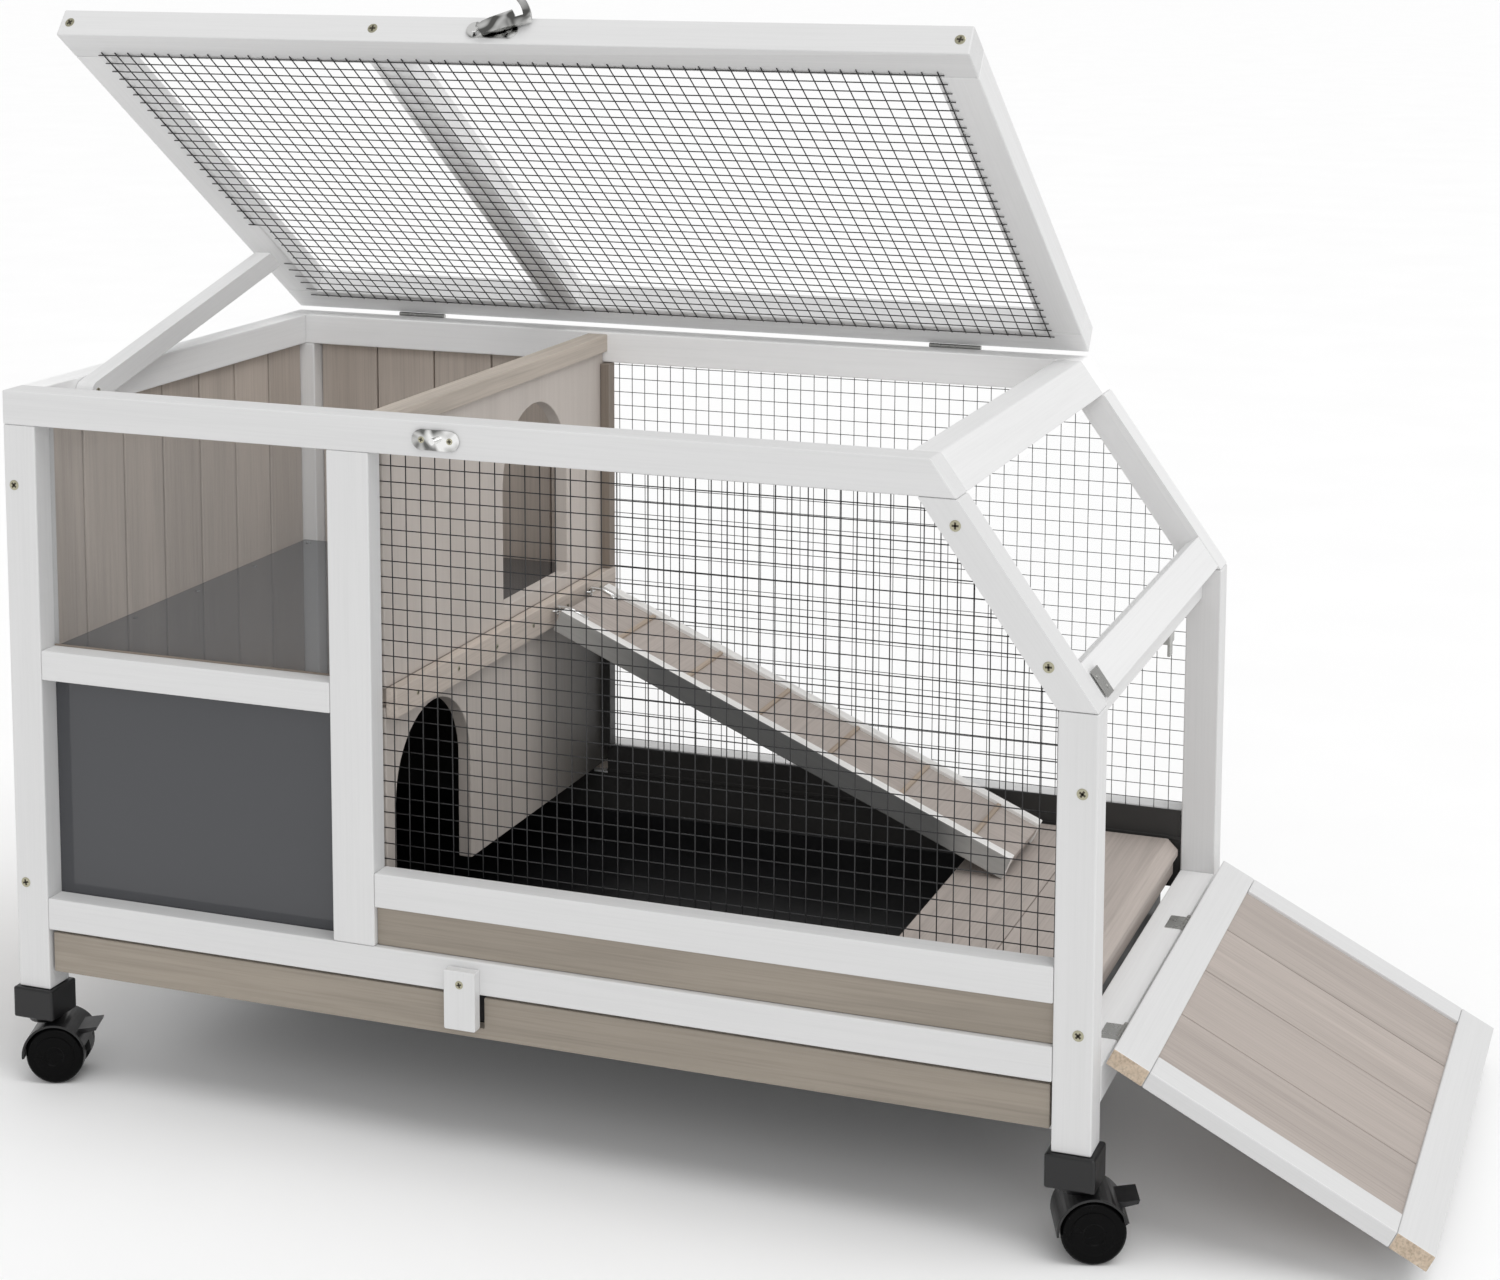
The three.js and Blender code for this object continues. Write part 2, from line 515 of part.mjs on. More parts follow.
function wheelPair() {
  const half = WHEEL.span / 2;
  const disc = (sign) => {
    const profile = [
      [0, 0], [WHEEL.r - WHEEL.bevel, 0], [WHEEL.r, WHEEL.bevel],
      [WHEEL.r, WHEEL.t - WHEEL.bevel], [WHEEL.r - WHEEL.bevel, WHEEL.t], [0, WHEEL.t],
    ].map(([r, h]) => new THREE.Vector2(r, h + half - WHEEL.t));
    const g = new THREE.LatheGeometry(profile, ROUND);
    if (sign < 0) g.rotateX(Math.PI);
    return g.translate(TRAIL, 0, WHEEL.r);
  };
  const into = WHEEL.t / 2;
  return union([disc(1), disc(-1), lyingCylinder(AXLE.r, into - half, half - into, AXLE.sides)]);
}

function hood() {
  const half = WHEEL.span / 2;
  const arc = new THREE.Shape();
  arc.absarc(TRAIL, WHEEL.r, COVER.outer, COVER.from, COVER.to, false);
  arc.absarc(TRAIL, WHEEL.r, COVER.inner, COVER.to, COVER.from, true);
  const web = new THREE.Shape();
  web.absarc(TRAIL, WHEEL.r, COVER.outer - WEB.sink, 0, Math.PI, false);
  web.lineTo(TRAIL - WEB.half, WHEEL.r - WEB.drop);
  web.lineTo(TRAIL + WEB.half, WHEEL.r - WEB.drop);
  const webHalf = half - WHEEL.t - WEB.wheelGap;
  const neck = new THREE.CylinderGeometry(NECK.top, NECK.foot, NECK.high, NECK.sides);
  neck.rotateX(Math.PI / 2);
  neck.translate(0, 0, NECK.z - NECK.high / 2);
  const edge = TRAIL + COVER.outer;
  const lever = shapeOf(LEVER.outline.map(([x, z]) => [edge + x, WHEEL.r + z]));
  const solid = union([
    sideView(arc, -half - COVER.past, half + COVER.past), sideView(web, -webHalf, webHalf), neck,
    sideView(lever, -LEVER.half, LEVER.half),
  ]);
  return cut(solid, [lyingCylinder(AXLE.r + AXLE.clear, -half, half, AXLE.sides)]);
}

function makeCaster(name, x, y) {
  const outline = boxGeometry([x - SOCKET.w / 2, x + SOCKET.w / 2],
    [y - SOCKET.d / 2, y + SOCKET.d / 2], [SOCKET.bottom, CASTER_H], 0);
  add(hutch, `caster_socket_${name}`, outline.translate(0, 0, -GAP / 2), blackPlastic);
  const caster = new THREE.Group();
  caster.position.set(x, y, 0);
  caster.rotation.z = THREE.MathUtils.degToRad(CASTER_TURN[name]);
  hutch.add(caster);
  add(caster, `caster_hood_${name}`, hood(), blackPlastic);
  add(caster, `caster_wheels_${name}`, wheelPair(), blackPlastic);
}

function makeCasters() {
  for (const [side, y] of [['front', POST_D / 2], ['rear', DEPTH - POST_D / 2]]) {
    makeCaster(`${side}_left`, POST_W / 2, y);
    makeCaster(`${side}_right`, LENGTH - POST_W / 2, y);
  }
}

// ---------------------------------------------------------------- assembly
makePosts();
makeTopRails();
makeFrontRails();
makeRearRails();
makeRightEnd();
makeWalls();
makePartition();
makeFloors();
makePanels();
makeKeeper();
makeLid();
makeProp();
makeRamp();
makeTray();
makeButton();
makeLadder();
makeCasters();

// Move the origin to the centre of the footprint, on the floor.
hutch.updateMatrixWorld(true);
const bounds = new THREE.Box3().setFromObject(hutch, true);
hutch.position.set(-(bounds.min.x + bounds.max.x) / 2, -(bounds.min.y + bounds.max.y) / 2, -bounds.min.z);
hutch.updateMatrixWorld(true);

export default hutch;
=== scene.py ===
"""Looks for the rabbit hutch: materials, wire panels, boards, ladder, hardware, stage and camera.

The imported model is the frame. Everything is in metres, in the frame's own axes: +X to the right
along the front, +Y to the back, +Z up. Places come from the frame's boxes and joints.
"""
import json
import math
import random

import bmesh
import bpy
from mathutils import Matrix, Vector


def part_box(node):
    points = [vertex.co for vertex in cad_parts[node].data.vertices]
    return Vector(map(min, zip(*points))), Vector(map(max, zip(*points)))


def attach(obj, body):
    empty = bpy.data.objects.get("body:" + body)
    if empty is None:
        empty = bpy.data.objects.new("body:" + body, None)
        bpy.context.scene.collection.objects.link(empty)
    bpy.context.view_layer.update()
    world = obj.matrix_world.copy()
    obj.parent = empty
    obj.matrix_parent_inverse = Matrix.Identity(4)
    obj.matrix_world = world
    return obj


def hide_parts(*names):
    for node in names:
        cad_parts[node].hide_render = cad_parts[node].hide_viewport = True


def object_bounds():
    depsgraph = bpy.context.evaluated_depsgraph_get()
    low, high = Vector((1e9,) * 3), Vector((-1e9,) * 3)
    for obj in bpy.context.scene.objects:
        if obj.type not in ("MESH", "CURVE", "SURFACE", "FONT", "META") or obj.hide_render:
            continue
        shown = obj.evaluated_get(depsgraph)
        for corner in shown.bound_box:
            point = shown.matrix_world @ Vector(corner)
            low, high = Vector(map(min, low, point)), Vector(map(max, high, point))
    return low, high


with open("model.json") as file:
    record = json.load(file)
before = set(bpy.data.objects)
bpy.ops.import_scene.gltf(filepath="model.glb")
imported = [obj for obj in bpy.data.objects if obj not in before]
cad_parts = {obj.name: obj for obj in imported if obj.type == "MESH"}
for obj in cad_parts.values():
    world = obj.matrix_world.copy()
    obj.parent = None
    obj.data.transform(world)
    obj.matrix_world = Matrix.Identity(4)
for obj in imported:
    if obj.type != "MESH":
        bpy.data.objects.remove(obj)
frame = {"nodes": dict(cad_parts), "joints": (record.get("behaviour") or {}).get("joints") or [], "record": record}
cad_low, cad_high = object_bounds()

MM = 0.001
NODES = frame["nodes"]
JOINTS = {joint["name"]: joint for joint in frame["joints"]}
X, Y, Z = Vector((1, 0, 0)), Vector((0, 1, 0)), Vector((0, 0, 1))
STILL = Matrix.Identity(4)   # the axes of a body that doesn't turn
HUTCH = "hutch"

PITCH = 12.7 * MM            # welded mesh
WIRE_R = 0.5 * MM
REAR_WIRE_R = 0.36 * MM
EDGE = 1.1 * MM              # rounding of planed timber
CORNERS = ("front_left", "front_right", "rear_left", "rear_right")


# ------------------------------------------------------------------ places in the frame
def size_of(node):
    low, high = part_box(node)
    return high - low


def drawn_frame(joint_name, turn):
    """Matrix from a moving group's own axes, with the hinge at the origin, to its rest place."""
    joint = JOINTS[joint_name]
    spin = Matrix.Rotation(turn, 4, Vector(joint["axis"]))
    return Matrix.Translation(Vector(joint["pos_m"])) @ spin


def shut_frame(joint_name):
    """The same, for a lid or door that its joint's upper limit shuts."""
    return drawn_frame(joint_name, -math.radians(JOINTS[joint_name]["range_deg"][1]))


def local_box(node, matrix):
    """Lowest and highest corner of a CAD node, in a group's own axes."""
    inverse = matrix.inverted()
    points = [inverse @ v.co for v in NODES[node].data.vertices]
    low = Vector([min(p[i] for p in points) for i in range(3)])
    high = Vector([max(p[i] for p in points) for i in range(3)])
    return low, high


def in_group(matrix, direction):
    """A direction given in a moving group's own axes, at rest."""
    return matrix.to_3x3() @ direction


LID = shut_frame("lid_hinge")
RAMP = shut_frame("ramp_hinge")
LADDER_SLOPE = math.radians(23.12)
LADDER = drawn_frame("ladder_lift", -LADDER_SLOPE)


# ------------------------------------------------------------------ mesh helpers
def finish_mesh(name, bm, material, body, smooth=False, bevel=0.0):
    """Makes a piece from the mesh, on the body it rides and in its material slot."""
    bmesh.ops.recalc_face_normals(bm, faces=bm.faces)
    mesh = bpy.data.meshes.new(name)
    bm.to_mesh(mesh)
    bm.free()
    mesh.materials.append(material)
    for polygon in mesh.polygons:
        polygon.use_smooth = smooth
    obj = bpy.data.objects.new(name, mesh)
    bpy.context.scene.collection.objects.link(obj)
    if bevel:
        round_edges(obj, bevel)
    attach(obj, body)
    return obj


def round_edges(obj, width, segments=2):
    """Welds split corners, then rounds the sharp edges. The mesh itself is left alone."""
    weld = obj.modifiers.new("weld", "WELD")
    weld.merge_threshold = 0.00002
    bevel = obj.modifiers.new("round", "BEVEL")
    bevel.width = width
    bevel.segments = segments
    bevel.limit_method = "ANGLE"
    bevel.angle_limit = math.radians(32)
    bevel.use_clamp_overlap = True


def add_box(bm, low, high, matrix=STILL):
    """A box between two corners in the matrix's own axes; gives back its faces."""
    low, high = Vector(low), Vector(high)
    centre = (low + high) / 2
    scale = Matrix.Diagonal((*(high - low), 1))
    made = bmesh.ops.create_cube(bm, size=1, matrix=matrix @ Matrix.Translation(centre) @ scale)
    return {face for vert in made["verts"] for face in vert.link_faces}


def use_material(faces, index):
    """Gives faces one of their object's materials, by its number."""
    for face in faces:
        face.material_index = index


def add_tube(bm, points, radius, sides=6):
    """A round bar through the points, mitred at each and closed at both ends."""
    rings = []
    side = None
    for i, point in enumerate(points):
        before = points[max(i - 1, 0)]
        after = points[min(i + 1, len(points) - 1)]
        along = (after - before).normalized()
        if side is None:
            side = along.orthogonal().normalized()
        else:
            side = (side - along * side.dot(along)).normalized()
        up = along.cross(side)
        ring = []
        for k in range(sides):
            turn = 2 * math.pi * k / sides
            ring.append(bm.verts.new(point + (side * math.cos(turn) + up * math.sin(turn)) * radius))
        rings.append(ring)
    for a, b in zip(rings, rings[1:]):
        for k in range(sides):
            bm.faces.new((a[k], a[(k + 1) % sides], b[(k + 1) % sides], b[k]))
    bm.faces.new(list(reversed(rings[0])))
    bm.faces.new(rings[-1])


def add_turned(bm, profile, matrix, sides):
    """A lathe-turned solid about the matrix's Z axis, from (radius, height) pairs."""
    rings = []
    for radius, height in profile:
        if radius < 1e-7:
            rings.append([bm.verts.new(matrix @ Vector((0, 0, height)))])
            continue
        ring = []
        for k in range(sides):
            turn = 2 * math.pi * k / sides
            place = Vector((radius * math.cos(turn), radius * math.sin(turn), height))
            ring.append(bm.verts.new(matrix @ place))
        rings.append(ring)
    for a, b in zip(rings, rings[1:]):
        for k in range(sides):
            n = (k + 1) % sides
            if len(a) == 1:
                bm.faces.new((a[0], b[n], b[k]))
            elif len(b) == 1:
                bm.faces.new((a[k], a[n], b[0]))
            else:
                bm.faces.new((a[k], a[n], b[n], b[k]))


def facing(point, normal, up=Z):
    """Matrix whose Z axis is the normal and whose origin is the point."""
    normal = Vector(normal).normalized()
    side = Vector(up).cross(normal)
    if side.length < 1e-4:
        side = X.copy()
    side.normalize()
    upright = normal.cross(side)
    return Matrix.Translation(Vector(point)) @ Matrix((side, upright, normal)).transposed().to_4x4()


# ------------------------------------------------------------------ tones
# White paint, as one grey level. The outside tone is painted shade: darker paint on the front pieces,
# the turn button and the rear right post, which stand in strong light. The inside tone is painted light:
# lighter paint on the far rails and post and the lid's bar, whose shaded faces are the ones seen. The ramp has its
# own.
PAINT_TONE = 0.77
PAINTED_SHADE_WHITE = 0.70
PAINTED_LIGHT_WHITE = 0.93
RAMP_TONE = 0.67

# Stained wood. JOINT_SHADE_TONE is the tongue seen between two boards, darkened as painted shade; SHADE_TONE
# and PAINTED_SHADOW_TONE are painted shade and shadow at the back end of the lower partition.
FRONT_TONE = (0.315, 0.275, 0.228)
WALL_TONE = (0.56, 0.49, 0.432)
PANEL_TONE = (0.54, 0.49, 0.45)
CAP_TONE = (0.50, 0.44, 0.38)
PALE_TONE = (0.43, 0.378, 0.345)
BATTEN_TONE = (0.24, 0.20, 0.165)
SHADE_TONE = (0.19, 0.175, 0.16)
JOINT_SHADE_TONE = (0.15, 0.13, 0.11)
PAINTED_SHADOW_TONE = (0.05, 0.046, 0.042)

# The ladder's near side: pale at both ends, and grey between them as painted shade.
LADDER_PALE_TONE = (0.42, 0.415, 0.40)
LADDER_SHADE_TONE = (0.14, 0.142, 0.14)


# ------------------------------------------------------------------ materials
def shader(name, colour, roughness, metallic=0.0, **sockets):
    """A material with its node tree's parts; other sockets are given with _ for a space."""
    material = bpy.data.materials.new(name)
    material.use_nodes = True
    bsdf = material.node_tree.nodes["Principled BSDF"]
    bsdf.inputs["Base Color"].default_value = (*colour, 1)
    bsdf.inputs["Roughness"].default_value = roughness
    bsdf.inputs["Metallic"].default_value = metallic
    for socket, value in sockets.items():
        bsdf.inputs[socket.replace("_", " ")].default_value = value
    return material, material.node_tree.nodes, material.node_tree.links, bsdf


def mapped_noise(nodes, links, along, stretch, across, seed, detail=6, distortion=0.0):
    """Noise drawn out along a direction: `stretch` and `across` are features per metre."""
    place = nodes.new("ShaderNodeTexCoord")
    mapping = nodes.new("ShaderNodeMapping")
    mapping.vector_type = "TEXTURE"
    mapping.inputs["Location"].default_value = (seed * 0.37, seed * 0.23, seed * 0.11)
    turn = Vector(along).to_track_quat("X", "Z").to_euler()
    mapping.inputs["Rotation"].default_value = turn
    mapping.inputs["Scale"].default_value = (1 / stretch, 1 / across, 1 / across)
    noise = nodes.new("ShaderNodeTexNoise")
    noise.inputs["Scale"].default_value = 1
    noise.inputs["Detail"].default_value = detail
    noise.inputs["Roughness"].default_value = 0.6
    noise.inputs["Distortion"].default_value = distortion
    links.new(place.outputs["Object"], mapping.inputs["Vector"])
    links.new(mapping.outputs["Vector"], noise.inputs["Vector"])
    return noise


def ramp(nodes, links, source, stops):
    """Turns a grey value into colours, from (position, colour) stops."""
    node = nodes.new("ShaderNodeValToRGB")
    while len(node.color_ramp.elements) < len(stops):
        node.color_ramp.elements.new(0.5)
    for element, (position, colour) in zip(node.color_ramp.elements, stops):
        element.position = position
        element.color = (*colour, 1)
    links.new(source, node.inputs["Fac"])
    return node


def bump(nodes, links, bsdf, sources):
    """Stacks height sources, each with its strength and depth in metres."""
    last = None
    for source, strength, depth in sources:
        node = nodes.new("ShaderNodeBump")
        node.inputs["Strength"].default_value = strength
        node.inputs["Distance"].default_value = depth
        links.new(source, node.inputs["Height"])
        if last:
            links.new(last.outputs["Normal"], node.inputs["Normal"])
        last = node
    links.new(last.outputs["Normal"], bsdf.inputs["Normal"])


def multiply(nodes, links, a, b):
    """Multiplies two colour sockets. The node's colour sockets are 6, 7 and output 2."""
    node = nodes.new("ShaderNodeMix")
    node.data_type = "RGBA"
    node.blend_type = "MULTIPLY"
    node.inputs[0].default_value = 1.0
    links.new(a, node.inputs[6])
    links.new(b, node.inputs[7])
    return node.outputs[2]


def wood(name, along, dark, mid, light, roughness, seed, grain, relief=0.25):
    """Grain of long fibres over slow bands, in three tones, with matching relief."""
    material, nodes, links, bsdf = shader(name, mid, roughness)
    bands = mapped_noise(nodes, links, along, 2.2, 42, seed, detail=3, distortion=0.6)
    fibres = mapped_noise(nodes, links, along, 9, 520, seed + 3, detail=8)
    tone = ramp(nodes, links, bands.outputs["Fac"], [(0.3, dark), (0.5, mid), (0.72, light)])
    shade = 1 - grain
    streak = ramp(nodes, links, fibres.outputs["Fac"],
                  [(0.34, (shade,) * 3), (0.56, (1, 1, 1))])
    colour = multiply(nodes, links, tone.outputs["Color"], streak.outputs["Color"])
    links.new(colour, bsdf.inputs["Base Color"])
    sheen = ramp(nodes, links, fibres.outputs["Fac"],
                 [(0.3, (roughness + 0.12,) * 3), (0.7, (roughness - 0.05,) * 3)])
    links.new(sheen.outputs["Color"], bsdf.inputs["Roughness"])
    bump(nodes, links, bsdf, [(bands.outputs["Fac"], relief, 0.0012),
                              (fibres.outputs["Fac"], relief, 0.0004)])
    return material


def paint(name, along, seed, tone):
    """White satin paint; the grain barely shows through."""
    dark, mid, light = (tone * k for k in (0.98, 1.0, 1.015))
    return wood(name, along, (dark,) * 3, (mid,) * 3, (light,) * 3, 0.5, seed, grain=0.028,
                relief=0.07)


def stain(name, along, seed, tone, spread=0.12, grain=0.12, relief=0.3):
    """Greige stain: `spread` is how far the bands stray from the tone."""
    dark = tuple(c * (1 - spread * 1.2) for c in tone)
    light = tuple(c * (1 + spread) for c in tone)
    return wood(name, along, dark, tone, light, 0.62, seed, grain, relief)


def graded_wood(name, axis, span, stops, along, seed):
    """Fine-grained wood whose tone changes along one axis, at stops from 0 to 1 of the span."""
    material, nodes, links, bsdf = shader(name, stops[0][1], 0.6)
    place = nodes.new("ShaderNodeTexCoord")
    axes = nodes.new("ShaderNodeSeparateXYZ")
    reach = nodes.new("ShaderNodeMapRange")
    reach.inputs["From Min"].default_value, reach.inputs["From Max"].default_value = span
    links.new(place.outputs["Object"], axes.inputs["Vector"])
    links.new(axes.outputs[axis], reach.inputs["Value"])
    tone = ramp(nodes, links, reach.outputs["Result"], stops)
    fibres = mapped_noise(nodes, links, along, 9, 300, seed)
    streak = ramp(nodes, links, fibres.outputs["Fac"], [(0.3, (0.9,) * 3), (0.6, (1, 1, 1))])
    colour = multiply(nodes, links, tone.outputs["Color"], streak.outputs["Color"])
    links.new(colour, bsdf.inputs["Base Color"])
    bump(nodes, links, bsdf, [(fibres.outputs["Fac"], 0.15, 0.0004)])
    return material


def metal(name, colour, roughness, seed):
    """Dull metal with a faintly uneven polish."""
    material, nodes, links, bsdf = shader(name, colour, roughness, 1.0)
    cloud = mapped_noise(nodes, links, X, 160, 160, seed, detail=4)
    smear = ramp(nodes, links, cloud.outputs["Fac"],
                 [(0.35, (roughness * 0.75,) * 3), (0.7, (roughness * 1.5,) * 3)])
    links.new(smear.outputs["Color"], bsdf.inputs["Roughness"])
    bump(nodes, links, bsdf, [(cloud.outputs["Fac"], 0.08, 0.0002)])
    return material


def plate_painted_reflections(name, seed):
    """Nickel plate with painted reflections: the soft dark and bright patches of a polished pressing, in its
    colour.
    """
    material, nodes, links, bsdf = shader(name, (0.6, 0.6, 0.59), 0.14, 1.0)
    painted_reflections = mapped_noise(nodes, links, X, 65, 65, seed, detail=1, distortion=0.6)
    # The colour ramp paints the reflections as dark and bright patches.
    tint = ramp(nodes, links, painted_reflections.outputs["Fac"],
                [(0.40, (0.13, 0.13, 0.125)), (0.5, (0.5, 0.5, 0.49)), (0.62, (0.85, 0.85, 0.84))])
    links.new(tint.outputs["Color"], bsdf.inputs["Base Color"])
    bump(nodes, links, bsdf, [(painted_reflections.outputs["Fac"], 0.12, 0.001)])
    return material


def plastic(name, colour, roughness, seed, texture=0.15, scale=1500, **sockets):
    """Moulded or coated surface: `texture` is the relief's strength, `scale` its fineness."""
    material, nodes, links, bsdf = shader(name, colour, roughness, **sockets)
    grain = mapped_noise(nodes, links, X, scale, scale, seed, detail=2)
    cloud = mapped_noise(nodes, links, X, 30, 30, seed + 5, detail=3)
    sheen = ramp(nodes, links, cloud.outputs["Fac"],
                 [(0.3, (roughness * 0.85,) * 3), (0.7, (roughness * 1.2,) * 3)])
    links.new(sheen.outputs["Color"], bsdf.inputs["Roughness"])
    bump(nodes, links, bsdf, [(grain.outputs["Fac"], texture, 0.0002)])
    return material


def acrylic(name, colour, alpha):
    """Clear or tinted sheet: `alpha` is how much of what lies behind it hides."""
    material, nodes, links, bsdf = shader(name, colour, 0.04, Alpha=alpha)
    wave = mapped_noise(nodes, links, X, 3, 3, 4, detail=1)
    bump(nodes, links, bsdf, [(wave.outputs["Fac"], 0.05, 0.002)])
    return material


WIRE = plastic("coated_wire", (0.012, 0.012, 0.013), 0.38, 2)
CHROME_PAINTED_REFLECTIONS = plate_painted_reflections("plate_painted_reflections", 3)
STEEL = metal("zinc_steel", (0.40, 0.40, 0.385), 0.3, 5)
HOOK_STEEL = metal("hook_steel", (0.80, 0.80, 0.79), 0.2, 6)
BRASS = metal("screw_plate", (0.44, 0.42, 0.31), 0.3, 7)
RECESS = metal("screw_recess", (0.10, 0.09, 0.07), 0.5, 8)
TRAY_BLACK = plastic("tray_black", (0.007, 0.007, 0.008), 0.42, 11, 0.25, 900)
MATTE_BLACK = plastic("matte_black", (0.028, 0.027, 0.026), 0.5, 12, 0.25, 700)
CASTER_BLACK = plastic("caster_black", (0.006, 0.006, 0.0065), 0.34, 13)
WHEEL_BLACK = plastic("wheel_black", (0.0015, 0.0015, 0.0016), 0.26, 17, 0.08, IOR=1.18)
SHEET = plastic("floor_sheet", (0.040, 0.048, 0.058), 0.05, 19, 0.002, 90, IOR=2.5)
END_GRAIN = wood("end_grain", Y, (0.42, 0.33, 0.24), (0.56, 0.45, 0.34), (0.66, 0.55, 0.43),
                 0.7, 301, grain=0.3)
STRIP_WOOD = wood("strip_wood", Y, (0.32, 0.25, 0.19), (0.40, 0.32, 0.25), (0.48, 0.39, 0.31),
                  0.6, 303, grain=0.2)
PALE_WOOD = wood("pale_wood", in_group(LADDER, X), (0.74, 0.725, 0.71), (0.82, 0.81, 0.79),
                 (0.88, 0.87, 0.86), 0.6, 305, grain=0.08)


# ------------------------------------------------------------------ timber frame
POST_LOW, POST_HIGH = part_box("post_front_right")
POST_W = POST_HIGH.x - POST_LOW.x
SLANT = size_of("post_front_slanted")
UP_SLOPE = Vector((-(SLANT.x - POST_W), 0, SLANT.z)).normalized()
OUT_SLOPE = Vector((UP_SLOPE.z, 0, -UP_SLOPE.x))
PROP_SIZE = size_of("lid_prop")
PROP_ALONG = Vector((0, PROP_SIZE.y, PROP_SIZE.z)).normalized()


def grain_of(node):
    """The way the fibres of a frame piece run."""
    special = {
        "post_front_slanted": UP_SLOPE, "post_rear_slanted": UP_SLOPE, "lid_prop": PROP_ALONG,
        "lid_rail_left": in_group(LID, Y), "lid_rail_right": in_group(LID, Y),
        "lid_bar": in_group(LID, Y),
    }
    if node in special:
        return special[node]
    size = size_of(node)
    return (X, Y, Z)[max(range(3), key=lambda i: size[i])]


def dress(node, material, width=0.0, segments=2):
    """Gives a CAD piece its material, and rounds its edges by the width."""
    obj = NODES[node]
    obj.data.materials.clear()
    obj.data.materials.append(material)
    if width:
        round_edges(obj, width, segments)


# Front pieces get the outside tone, painted shade; far pieces get the inside tone, painted light.
def light_and_shade_paint_tone(node):
    if "front" in node or node in ("turn_button", "post_rear_right"):
        return PAINTED_SHADE_WHITE
    if node in ("rail_top_rear", "rail_top_left", "post_rear_left", "lid_bar"):
        return PAINTED_LIGHT_WHITE
    return PAINT_TONE


def stained_look(node, seed):
    """The stain of a CAD piece that keeps its own shape."""
    name = "stain_" + node
    if node in ("apron_front", "tray_front"):
        return stain(name, grain_of(node), seed, FRONT_TONE)
    if node == "partition_upper":
        return stain(name, Z, seed, PANEL_TONE, 0.04, 0.03, 0.06)
    if node == "partition_lower":
        # Painted shade and shadow: darker towards the back, where the two battens stand.
        span = [corner.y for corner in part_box(node)]
        stops = [(0.0, PANEL_TONE), (0.58, PANEL_TONE), (0.8, SHADE_TONE), (0.9, PAINTED_SHADOW_TONE)]
        return graded_wood(name, "Y", span, stops, Z, seed)
    return stain(name, grain_of(node), seed, WALL_TONE, 0.05)


def dress_timber():
    """Paints the white pieces, and stains those that keep their CAD shape."""
    slots = {part["node"]: part["material_slot"] for part in frame["record"]["subparts"]}
    for seed, node in enumerate(sorted(NODES)):
        if slots[node] == "white_paint" and node != "ramp_frame":
            dress(node, paint("paint_" + node, grain_of(node), seed, light_and_shade_paint_tone(node)), EDGE)
    stained = ("apron_front", "tray_front", "partition_upper", "partition_lower", "upper_floor",
               "floor_edge")
    for seed, node in enumerate(stained, start=70):
        dress(node, stained_look(node, seed), EDGE * 0.7)


def boards(name, node, matrix, across, count, body, seed, tone, joint=1.3 * MM):
    """Replaces a CAD panel by upright boards edge to edge, with a tongue behind the joints darkened as painted
    shade.

    `across` is the axis, in the matrix's own axes, along which the boards follow one another.
    """
    low, high = local_box(node, matrix)
    bm = bmesh.new()
    width = (high[across] - low[across]) / count
    thin = min(range(3), key=lambda i: high[i] - low[i])
    for i in range(count):
        a, b = low.copy(), high.copy()
        a[across] = low[across] + i * width + joint / 2
        b[across] = low[across] + (i + 1) * width - joint / 2
        use_material(add_box(bm, a, b, matrix), i % 3)
    tongue_low, tongue_high = low.copy(), high.copy()
    third = (high[thin] - low[thin]) / 3
    tongue_low[thin] += third
    tongue_high[thin] -= third
    tongue_low[across] += width / 2
    tongue_high[across] -= width / 2
    use_material(add_box(bm, tongue_low, tongue_high, matrix), 3)
    tones = [stain(f"stain_{name}_{i}", in_group(matrix, Z), seed + 7 * i,
                   tuple(c * (0.96 + 0.04 * i) for c in tone), 0.07) for i in range(3)]
    obj = finish_mesh(name, bm, tones[0], body, bevel=1.2 * MM)
    # The tongue's dark stain is painted shade in the joints.
    for stained in tones[1:] + [stain(f"stain_{name}_joint", Z, seed + 40, JOINT_SHADE_TONE)]:
        obj.data.materials.append(stained)
    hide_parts(node)


def make_boards():
    """The house's two boarded walls, the partition's trim and the platform."""
    boards("wall_left_boards", "wall_left", STILL, across=1, count=7, body=HUTCH, seed=101,
           tone=WALL_TONE, joint=2.4 * MM)
    boards("wall_rear_boards", "wall_rear", STILL, across=0, count=5, body=HUTCH, seed=131,
           tone=WALL_TONE)
    make_partition_trim()
    make_platform()


def make_partition_trim():
    """The rail that caps the partition's top edge, and the dark battens at its back end."""
    low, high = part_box("partition_upper")
    wire_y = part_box("mesh_rear")[0].y
    panel_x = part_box("partition_lower")[1].x
    batten_w, batten_deep = 9 * MM, 14 * MM

    def batten(name, material, foot, top):
        bm = bmesh.new()
        add_box(bm, (panel_x + 0.2 * MM, wire_y - batten_deep, foot),
                (panel_x + batten_w, wire_y - 0.6 * MM, top - 0.5 * MM))
        finish_mesh(name, bm, material, HUTCH, bevel=0.6 * MM)

    batten("partition_batten", stain("stain_batten", Z, 181, BATTEN_TONE, 0.1),
           low.z + 1 * MM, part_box("rail_top_rear")[0].z)
    batten("partition_batten_lower", MATTE_BLACK,
           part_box("rail_sill_rear")[1].z + 0.5 * MM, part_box("floor_edge")[0].z)
    cap_high, skin = 15.6 * MM, 0.25 * MM
    bm = bmesh.new()
    add_box(bm, (low.x - skin, low.y, high.z - cap_high), (high.x + skin, high.y, high.z + skin))
    finish_mesh("partition_cap", bm, stain("stain_cap", Y, 177, CAP_TONE, 0.16), HUTCH,
                bevel=0.8 * MM)


